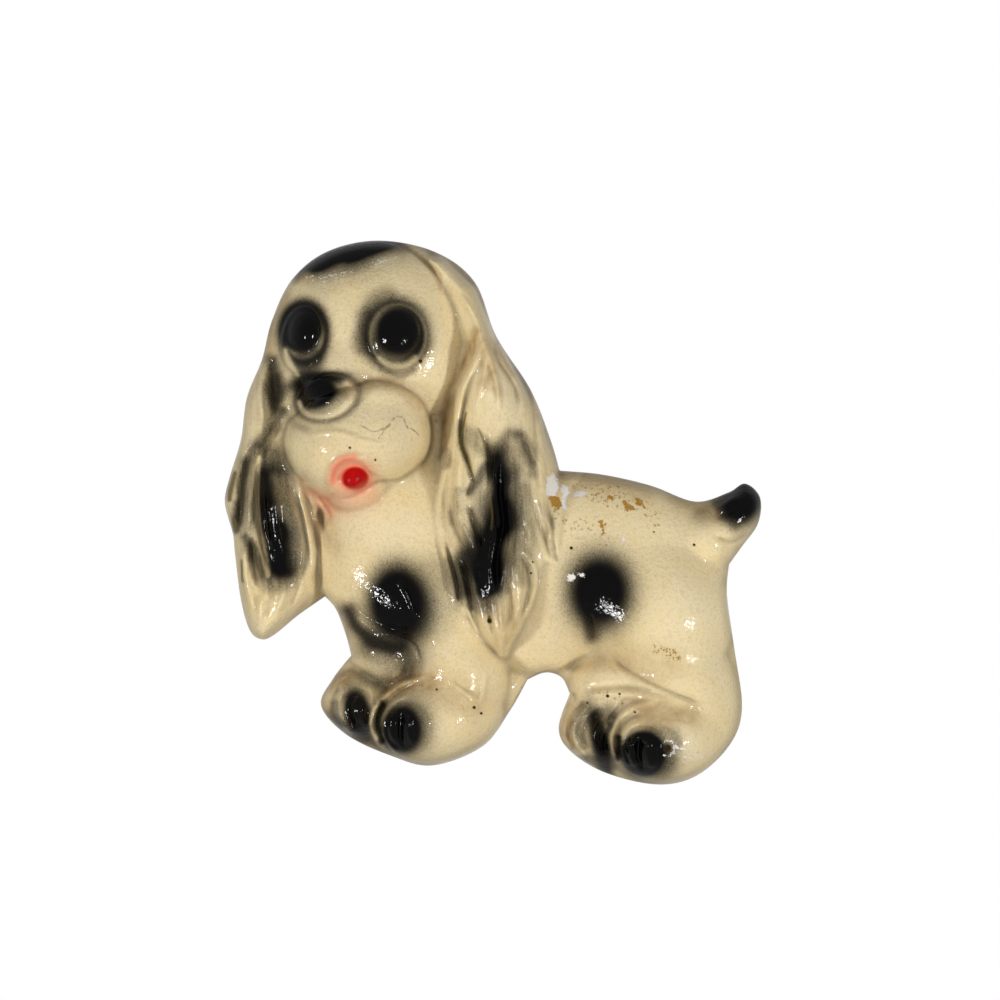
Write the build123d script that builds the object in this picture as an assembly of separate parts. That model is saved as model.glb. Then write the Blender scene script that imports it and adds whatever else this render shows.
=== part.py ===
from build123d import *
import os
from collections import namedtuple

# A chalkware spaniel puppy: a wall plaque cast in plaster, with a bent wire hanger set in its flat back.
# The dog looks out along -Y, its back lies flat on the wall plane Y = 0, and +Z is up.
# The origin is the point on the wall plane where the nail carries the hanger wire.
# Places in the picture plane are shares of a square drawing, measured across from its left edge and down from its top.

# Driving dimensions, in millimetres
figure_width = 190.0
figure_height = 192.5
relief_depth = 46.0
edge_thickness = 8.0
hanger_from_left = 81.5
hanger_from_bottom = 154.0
pocket_width = 18.0
pocket_above_nail = 5.0
pocket_below_nail = 14.0
pocket_depth = 8.0
pocket_corner_radius = 4.0
wire_diameter = 2.0
wire_cover = 2.0
wire_side_clearance = 2.0
wire_arch_height = 8.0
wire_bend_radius = 3.0
wire_anchor_run = 8.0
wire_anchor_hook = 6.0
cut_overrun = 1.0

# Where the figure's extremes lie in the square drawing
left_share, right_share = 0.225, 0.761
top_share, bottom_share = 0.241, 0.784

# The outline, clockwise from the notch between the far ear and the chest. Each run ends at a corner.
head_outline_shares = [
    (0.325, 0.597), (0.298, 0.616), (0.275, 0.635), (0.262, 0.640), (0.250, 0.631), (0.241, 0.600),
    (0.235, 0.553), (0.233, 0.534), (0.225, 0.503), (0.230, 0.477), (0.241, 0.440), (0.247, 0.398),
    (0.262, 0.360), (0.272, 0.321), (0.292, 0.280), (0.327, 0.252), (0.378, 0.241), (0.434, 0.252),
    (0.474, 0.282), (0.496, 0.337), (0.530, 0.390), (0.550, 0.440), (0.559, 0.471),
]
back_outline_shares = [
    (0.559, 0.471), (0.602, 0.475), (0.650, 0.486), (0.694, 0.502), (0.727, 0.493), (0.744, 0.484),
    (0.759, 0.498), (0.757, 0.524), (0.741, 0.547), (0.728, 0.565),
]
hind_outline_shares = [
    (0.728, 0.565), (0.726, 0.595), (0.733, 0.647), (0.741, 0.708), (0.729, 0.745), (0.696, 0.776),
    (0.656, 0.785), (0.604, 0.773), (0.569, 0.751), (0.558, 0.728), (0.569, 0.694),
]
belly_outline_shares = [(0.569, 0.694), (0.561, 0.678), (0.545, 0.673), (0.527, 0.680)]
fore_outline_shares = [
    (0.527, 0.680), (0.509, 0.712), (0.482, 0.747), (0.432, 0.766), (0.390, 0.756), (0.346, 0.735),
    (0.321, 0.706), (0.333, 0.679), (0.351, 0.656),
]
chest_outline_shares = [(0.351, 0.656), (0.346, 0.636), (0.336, 0.610), (0.325, 0.597)]
outline_run_shares = [
    head_outline_shares, back_outline_shares, hind_outline_shares,
    belly_outline_shares, fore_outline_shares, chest_outline_shares,
]

# Each rounded form is an egg shape: its centre, its half sizes across and down, the height of its centre and its half
# depth off the wall as shares of the relief depth, and its tilt in degrees, clockwise as seen.
Egg = namedtuple("Egg", "across down half_across half_down centre_depth half_depth tilt")
egg_shares = {
    "skull": Egg(0.374, 0.342, 0.101, 0.100, 0.13, 0.62, 0),
    "snout_bridge": Egg(0.338, 0.384, 0.042, 0.046, 0.44, 0.44, -8),
    "muzzle": Egg(0.359, 0.438, 0.071, 0.050, 0.38, 0.57, -14),
    "near_muzzle_lobe": Egg(0.388, 0.430, 0.045, 0.048, 0.42, 0.50, 10),
    "far_muzzle_lobe": Egg(0.325, 0.448, 0.036, 0.048, 0.38, 0.52, -10),
    "nose": Egg(0.329, 0.399, 0.030, 0.022, 0.64, 0.36, -14),
    "near_eyeball": Egg(0.398, 0.340, 0.031, 0.036, 0.65, 0.18, 0),
    "near_pupil": Egg(0.399, 0.332, 0.020, 0.021, 0.72, 0.16, 0),
    "far_eyeball": Egg(0.302, 0.338, 0.022, 0.036, 0.52, 0.20, 6),
    "far_pupil": Egg(0.306, 0.331, 0.015, 0.019, 0.63, 0.15, 0),
    "chin": Egg(0.352, 0.489, 0.032, 0.023, 0.38, 0.40, -8),
    "tongue": Egg(0.358, 0.479, 0.014, 0.012, 0.60, 0.22, 0),
    "far_ear_web": Egg(0.322, 0.540, 0.020, 0.050, 0.05, 0.27, -2),
    "chest": Egg(0.405, 0.556, 0.080, 0.110, 0.08, 0.50, -6),
    "near_shoulder": Egg(0.432, 0.604, 0.084, 0.064, 0.12, 0.53, 26),
    "near_foreleg": Egg(0.455, 0.668, 0.050, 0.068, 0.10, 0.54, -14),
    "far_foreleg": Egg(0.384, 0.652, 0.034, 0.046, 0.08, 0.42, -24),
    "far_forepaw": Egg(0.357, 0.705, 0.034, 0.032, 0.11, 0.42, 24),
    "far_fore_toe": Egg(0.359, 0.712, 0.018, 0.023, 0.34, 0.26, 10),
    "near_forepaw": Egg(0.437, 0.716, 0.065, 0.048, 0.14, 0.60, -8),
    "near_fore_toe": Egg(0.409, 0.728, 0.023, 0.023, 0.46, 0.28, 0),
    "barrel": Egg(0.590, 0.568, 0.136, 0.094, 0.04, 0.52, 4),
    "belly": Egg(0.538, 0.628, 0.062, 0.048, 0.04, 0.40, -5),
    "haunch": Egg(0.653, 0.612, 0.082, 0.070, 0.08, 0.60, 40),
    "near_hind_leg": Egg(0.670, 0.696, 0.064, 0.080, 0.10, 0.47, -10),
    "far_hind_leg": Egg(0.604, 0.690, 0.036, 0.040, 0.08, 0.44, 10),
    "far_hind_paw": Egg(0.592, 0.727, 0.030, 0.042, 0.10, 0.40, -26),
    "far_hind_toe": Egg(0.598, 0.738, 0.017, 0.026, 0.32, 0.28, -20),
    "near_hind_paw": Egg(0.662, 0.737, 0.056, 0.045, 0.14, 0.57, 2),
    "near_hind_toe": Egg(0.642, 0.750, 0.024, 0.024, 0.44, 0.28, 0),
    "tail_root": Egg(0.706, 0.542, 0.030, 0.030, 0.04, 0.38, 20),
    "tail": Egg(0.729, 0.522, 0.022, 0.042, 0.06, 0.34, 42),
    "near_brow_lock": Egg(0.462, 0.398, 0.011, 0.062, 0.50, 0.10, 13),
    "near_temple_lock": Egg(0.512, 0.398, 0.010, 0.052, 0.54, 0.09, -18),
    "near_cheek_lock": Egg(0.484, 0.374, 0.009, 0.040, 0.62, 0.09, 0),
    "near_mid_lock": Egg(0.459, 0.490, 0.010, 0.055, 0.55, 0.10, 3),
    "near_long_lock": Egg(0.494, 0.512, 0.009, 0.080, 0.69, 0.09, 3),
    "near_back_lock": Egg(0.511, 0.508, 0.008, 0.070, 0.67, 0.09, 2),
    "near_outer_lock": Egg(0.528, 0.500, 0.009, 0.055, 0.60, 0.09, -10),
    "near_low_lock": Egg(0.450, 0.562, 0.009, 0.036, 0.52, 0.09, -14),
    "near_tip_lock": Egg(0.478, 0.592, 0.010, 0.040, 0.64, 0.09, -12),
    "near_hind_tip": Egg(0.524, 0.580, 0.009, 0.036, 0.56, 0.09, 4),
    "far_outer_lock": Egg(0.236, 0.496, 0.008, 0.040, 0.27, 0.10, 6),
    "far_inner_lock": Egg(0.253, 0.500, 0.008, 0.045, 0.39, 0.10, 8),
    "far_long_lock": Egg(0.267, 0.512, 0.009, 0.058, 0.43, 0.10, -6),
    "far_low_lock": Egg(0.251, 0.577, 0.009, 0.038, 0.32, 0.10, -8),
    "near_outer_toe_rim": Egg(0.379, 0.714, 0.009, 0.030, 0.37, 0.09, 20),
    "near_hind_toe_rim": Egg(0.615, 0.731, 0.008, 0.028, 0.40, 0.09, 15),
}

# Each ear is lofted through level sections from its root to its tip: how far down the section lies, its left and right
# edges, and the height of its centre and its half depth as shares of the relief depth.
Section = namedtuple("Section", "down left right centre_depth half_depth")
ear_section_shares = {
    "near_ear": [
        Section(0.262, 0.420, 0.448, 0.08, 0.38),
        Section(0.290, 0.442, 0.476, 0.10, 0.47),
        Section(0.345, 0.463, 0.499, 0.13, 0.52),
        Section(0.410, 0.444, 0.538, 0.14, 0.54),
        Section(0.470, 0.437, 0.556, 0.14, 0.57),
        Section(0.530, 0.437, 0.554, 0.16, 0.58),
        Section(0.590, 0.450, 0.538, 0.18, 0.55),
        Section(0.630, 0.480, 0.520, 0.22, 0.47),
        Section(0.650, 0.498, 0.508, 0.26, 0.34),
    ],
    "far_ear": [
        Section(0.345, 0.280, 0.300, 0.08, 0.24),
        Section(0.375, 0.260, 0.296, 0.08, 0.28),
        Section(0.410, 0.247, 0.296, 0.08, 0.31),
        Section(0.455, 0.238, 0.306, 0.09, 0.34),
        Section(0.505, 0.228, 0.316, 0.10, 0.37),
        Section(0.550, 0.237, 0.322, 0.10, 0.38),
        Section(0.590, 0.241, 0.314, 0.09, 0.35),
        Section(0.620, 0.248, 0.288, 0.07, 0.28),
        Section(0.636, 0.256, 0.269, 0.06, 0.18),
    ],
}


def across(share):
    """Millimetres to the right of the nail."""
    return (share - left_share) / (right_share - left_share) * figure_width - hanger_from_left


def up(share):
    """Millimetres above the nail, for a share measured down the drawing."""
    return (bottom_share - share) / (bottom_share - top_share) * figure_height - hanger_from_bottom


def out(share):
    """The Y of a point that stands this share of the relief depth off the wall."""
    return -share * relief_depth


def spline_run(shares):
    """One smooth run of the outline, in the wall plane."""
    return Spline(*[Vector(across(a), 0, up(d)) for a, d in shares])


def outline_slab():
    """The plain edge of the casting: the whole outline, standing off the wall."""
    runs = [spline_run(shares) for shares in outline_run_shares]
    return extrude(make_face(runs), edge_thickness, dir=(0, -1, 0))


def egg(form):
    """An egg-shaped form of the relief."""
    half_across = across(form.across + form.half_across) - across(form.across)
    half_up = up(form.down) - up(form.down + form.half_down)
    body = scale(Sphere(1), by=(half_across, form.half_depth * relief_depth, half_up))
    return Pos(across(form.across), out(form.centre_depth), up(form.down)) * Rot(0, form.tilt, 0) * body


def ear(sections):
    """A hanging ear, thin at its root and its tip."""
    outlines = []
    for section in sections:
        middle = (across(section.left) + across(section.right)) / 2
        half_width = (across(section.right) - across(section.left)) / 2
        plane = Plane(origin=(middle, out(section.centre_depth), up(section.down)), x_dir=(1, 0, 0), z_dir=(0, 0, 1))
        outlines.append(plane * Ellipse(half_width, section.half_depth * relief_depth))
    return loft(outlines)


def hanger_pocket():
    """The hollow in the back that gives a nail's head room behind the wire."""
    height = pocket_above_nail + pocket_below_nail
    middle = (pocket_above_nail - pocket_below_nail) / 2
    mouth = Plane(origin=(0, cut_overrun, middle), x_dir=(1, 0, 0), z_dir=(0, -1, 0))
    shape = mouth * RectangleRounded(pocket_width, height, pocket_corner_radius)
    return extrude(shape, pocket_depth + cut_overrun)


def hanger_wire():
    """One bent wire: an arch across the pocket, two runs into the plaster, and a hook at each end."""
    depth = -(wire_cover + wire_diameter / 2)
    arch_top = wire_diameter / 2
    arch_foot = arch_top - wire_arch_height
    arch_side = pocket_width / 2 - wire_side_clearance - wire_diameter / 2
    anchor = pocket_width / 2 + wire_anchor_run
    left_half = [
        Vector(-anchor, depth - wire_anchor_hook, arch_foot),
        Vector(-anchor, depth, arch_foot),
        Vector(-arch_side, depth, arch_foot),
        Vector(-arch_side, depth, arch_top),
    ]
    right_half = [Vector(-point.X, point.Y, point.Z) for point in reversed(left_half)]
    path = FilletPolyline(*left_half, *right_half, radius=wire_bend_radius)
    section = Plane(origin=path @ 0, z_dir=path % 0) * Circle(wire_diameter / 2)
    return sweep(section, path=path)


def plaster_casting(wire):
    """The whole dog in one pour of plaster, flat at the back, with the pocket and the wire's own bed cut out."""
    forms = [egg(form) for form in egg_shares.values()] + [ear(sections) for sections in ear_section_shares.values()]
    relief = outline_slab()
    for form in forms:
        relief = relief.fuse(form)
    reach = 2 * (figure_width + figure_height)
    room = Box(reach, reach, reach, align=(Align.CENTER, Align.MAX, Align.CENTER))
    return (relief & room) - hanger_pocket() - wire


os.makedirs("parts", exist_ok=True)
wire = hanger_wire()
export_step(wire, "parts/hanger_wire.step")
export_step(plaster_casting(wire), "parts/plaster_casting.step")
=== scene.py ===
"""A painted chalkware spaniel puppy, a half-relief wall plaque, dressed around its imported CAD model.

The casting's front is a height field. Its drawing is a square of 1000 units, measured across from the left
edge and down from the top, and its heights are in millimetres off the wall. The paint is sprayed over the same
drawing, and reaches the material as attributes of the mesh.
"""
import math

import bmesh
import bpy
import numpy as np
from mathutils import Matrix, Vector


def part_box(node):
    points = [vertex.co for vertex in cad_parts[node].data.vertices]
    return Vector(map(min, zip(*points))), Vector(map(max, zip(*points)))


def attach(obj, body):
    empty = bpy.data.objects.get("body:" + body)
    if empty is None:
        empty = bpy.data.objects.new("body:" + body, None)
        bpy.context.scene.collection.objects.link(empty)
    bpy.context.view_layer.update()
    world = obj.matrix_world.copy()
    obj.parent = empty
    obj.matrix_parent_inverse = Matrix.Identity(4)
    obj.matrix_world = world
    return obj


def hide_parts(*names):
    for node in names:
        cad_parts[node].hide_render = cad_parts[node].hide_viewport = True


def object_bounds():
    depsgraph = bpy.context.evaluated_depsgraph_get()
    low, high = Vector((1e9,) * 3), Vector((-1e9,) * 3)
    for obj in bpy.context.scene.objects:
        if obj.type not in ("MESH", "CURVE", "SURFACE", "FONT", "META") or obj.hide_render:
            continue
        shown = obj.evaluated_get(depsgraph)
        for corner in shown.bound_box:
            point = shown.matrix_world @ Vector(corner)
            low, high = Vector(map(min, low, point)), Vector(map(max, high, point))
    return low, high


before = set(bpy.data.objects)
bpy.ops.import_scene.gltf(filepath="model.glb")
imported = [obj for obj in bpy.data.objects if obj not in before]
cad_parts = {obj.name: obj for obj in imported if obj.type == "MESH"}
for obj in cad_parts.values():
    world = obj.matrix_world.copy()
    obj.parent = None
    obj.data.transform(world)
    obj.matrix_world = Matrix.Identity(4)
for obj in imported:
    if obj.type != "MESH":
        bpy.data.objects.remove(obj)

bl_info = {
    "name": "Chalkware Puppy Plaque",
    "version": (1, 0, 0),
    "blender": (4, 5, 0),
    "location": "View3D > Sidebar > Chalkware",
    "description": "Models and paints a chalkware puppy plaque, its wire hanger and a plain studio",
    "category": "Add Mesh",
}

MM = 0.001
cad_low, cad_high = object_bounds()
figure_low, figure_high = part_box("plaster_casting")
relief_depth = figure_high.y - figure_low.y

# The figure's outline, as six smooth runs that meet in corners, clockwise from the far ear's web to the chest
OUTLINE_RUNS = (
    ((325, 597), (298, 616), (275, 635), (262, 640), (250, 631), (241, 600), (235, 553), (233, 534), (225, 503),
     (230, 477), (241, 440), (247, 398), (262, 360), (272, 321), (292, 280), (327, 252), (378, 241), (434, 252),
     (474, 282), (496, 337), (530, 390), (550, 440), (559, 471)),
    ((559, 471), (602, 475), (650, 486), (694, 502), (727, 493), (744, 484), (759, 498), (757, 524), (741, 547),
     (728, 565)),
    ((728, 565), (726, 595), (733, 647), (741, 708), (729, 745), (696, 776), (656, 785), (604, 773), (569, 751),
     (558, 728), (569, 694)),
    ((569, 694), (561, 678), (545, 673), (527, 680)),
    ((527, 680), (509, 712), (482, 747), (432, 766), (390, 756), (346, 735), (321, 706), (333, 679), (351, 656)),
    ((351, 656), (346, 636), (336, 610), (325, 597)),
)

# The masses under the modelling: centre, radii, height of the centre, rise of the dome, tilt, blend
MASSES = (
    ((400, 556), (84, 111), 4, 23, -6, 5),     # chest
    ((590, 567), (140, 96), 2, 24, 4, 6),      # barrel
    ((538, 628), (63, 49), 2, 19, -5, 5),      # belly
    ((431, 604), (86, 64), 5.5, 24.5, 26, 6),  # near shoulder
    ((455, 667), (52, 71), 5, 25, -14, 6),     # near foreleg
    ((384, 651), (35, 47), 4, 18.5, -24, 4),   # far foreleg
    ((358, 705), (35, 34), 5, 19, 24, 3),      # far forepaw
    ((437, 716), (67, 49), 6, 27.5, -8, 4),    # near forepaw
    ((653, 610), (85, 73), 4, 27, 40, 6),      # haunch
    ((671, 696), (66, 83), 5, 21.5, -10, 6),   # near hind leg
    ((604, 690), (37, 41), 4, 19, 10, 4),      # far hind leg
    ((592, 728), (33, 44), 5, 18, -26, 3),     # far hind paw
    ((663, 737), (60, 47), 6, 26, 2, 4),       # near hind paw
    ((706, 542), (32, 32), 2, 17, 20, 5),      # tail's root
    ((729, 522), (24, 45), 3, 15, 42, 4),      # tail
    ((374, 342), (104, 103), 5.5, 29, 0, 4),   # skull
    ((350, 396), (76, 84), 8, 21.5, 0, 4),     # face
    ((338, 380), (42, 44), 18, 19.5, -8, 4),   # bridge of the snout
    ((357, 446), (73, 52), 18, 15, -14, 4),    # jaw
    ((357, 488), (31, 22), 15.6, 18.5, -8, 3),  # chin
)
# The hanging ears under their hair, down the drawing: left and right edges, their height, middle's rise
EARS = (
    ((262, 420, 448, 4, 17), (290, 442, 476, 5, 21), (345, 463, 499, 6, 24), (410, 444, 538, 6, 25),
     (470, 437, 558, 6, 26), (530, 437, 556, 7, 26), (590, 448, 540, 8, 25), (630, 474, 524, 10, 22),
     (652, 496, 508, 12, 16)),
    ((330, 270, 290, 3, 10), (375, 254, 298, 4, 13), (410, 243, 298, 4, 14), (455, 232, 308, 4, 15),
     (505, 222, 318, 5, 16), (550, 230, 323, 5, 17), (590, 236, 318, 4, 16), (620, 244, 292, 4, 14),
     (642, 254, 272, 3, 10)),
)

# Sheets laid over the masses: outline, rise, and how far in from the outline their edge rolls over
NEAR_EAR = ((420, 200), (436, 262), (450, 290), (466, 308), (476, 328), (471, 350), (459, 374), (448, 396),
            (443, 418), (441, 450), (438, 480), (435, 505), (437, 535), (445, 568), (452, 600), (461, 613),
            (473, 622), (487, 644), (502, 652), (512, 640), (524, 622), (534, 592), (537, 574), (545, 562),
            (556, 563), (560, 530), (566, 495), (600, 440), (560, 330), (520, 230), (460, 190))
FAR_EAR = ((268, 330), (276, 356), (286, 386), (291, 412), (284, 436), (288, 458), (296, 484), (303, 520),
           (309, 552), (312, 574), (318, 600), (316, 640), (262, 680), (210, 640), (200, 500), (215, 400),
           (240, 330))
MUZZLE = ((302, 414), (290, 424), (285, 441), (289, 459), (299, 475), (315, 488), (334, 497), (352, 496),
          (366, 488), (380, 481), (398, 479), (414, 469), (427, 455), (431, 437), (429, 419), (420, 402),
          (406, 391), (390, 385), (374, 383), (362, 387), (338, 394), (314, 402))
SHEETS = (
    (NEAR_EAR, 2.2, 12),
    (FAR_EAR, 1.4, 10),
    (MUZZLE, 12.5, 46),
)

# Small domes, and hollows where the rise is negative: centre, radii, rise, tilt, fullness (0.5 is round)
DOMES = (
    ((329, 399), (33, 23), 4.5, -14, 0.6),    # nose
    ((322, 396), (18, 12), 1.2, -14, 1.0),
    ((399, 341), (42, 45), -0.7, 0, 1.0),     # near eye's socket, ball and pupil
    ((399, 340), (29, 32), 4.6, 0, 0.6),
    ((399, 335), (22, 24), 2.0, 0, 0.8),
    ((303, 340), (30, 44), -0.6, 6, 1.0),     # far eye's socket, ball and pupil
    ((304, 341), (22, 34), 6.0, 8, 0.6),
    ((306, 333), (16, 21), 3.0, 4, 0.8),
    ((355, 480), (26, 24), -3.0, 0, 1.0),     # mouth and tongue
    ((358, 479), (14, 12), 4.0, 0, 0.6),
    ((284, 545), (20, 40), -2.6, -6, 1.0),    # far ear's scooped lock
    ((407, 728), (25, 27), 1.8, 0, 0.6),      # toes
    ((358, 712), (18, 23), 2.4, 10, 0.7),
    ((641, 751), (24, 26), 2.8, 0, 0.5),
    ((597, 738), (16, 26), 2.4, -20, 0.7),
    ((666, 747), (7, 6), -1.6, 0, 0.7),       # the chip beside the hind toes
)
# Rims around the nose and the eyes: centre, radii, tilt, half width, rise
RIMS = (
    ((329, 400), (28, 19), -14, 2.6, 1.0),
    ((399, 339), (27.5, 31), 0, 2.4, 0.6),
    ((304, 342), (20, 33), 8, 2.4, 0.8),
)

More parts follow.
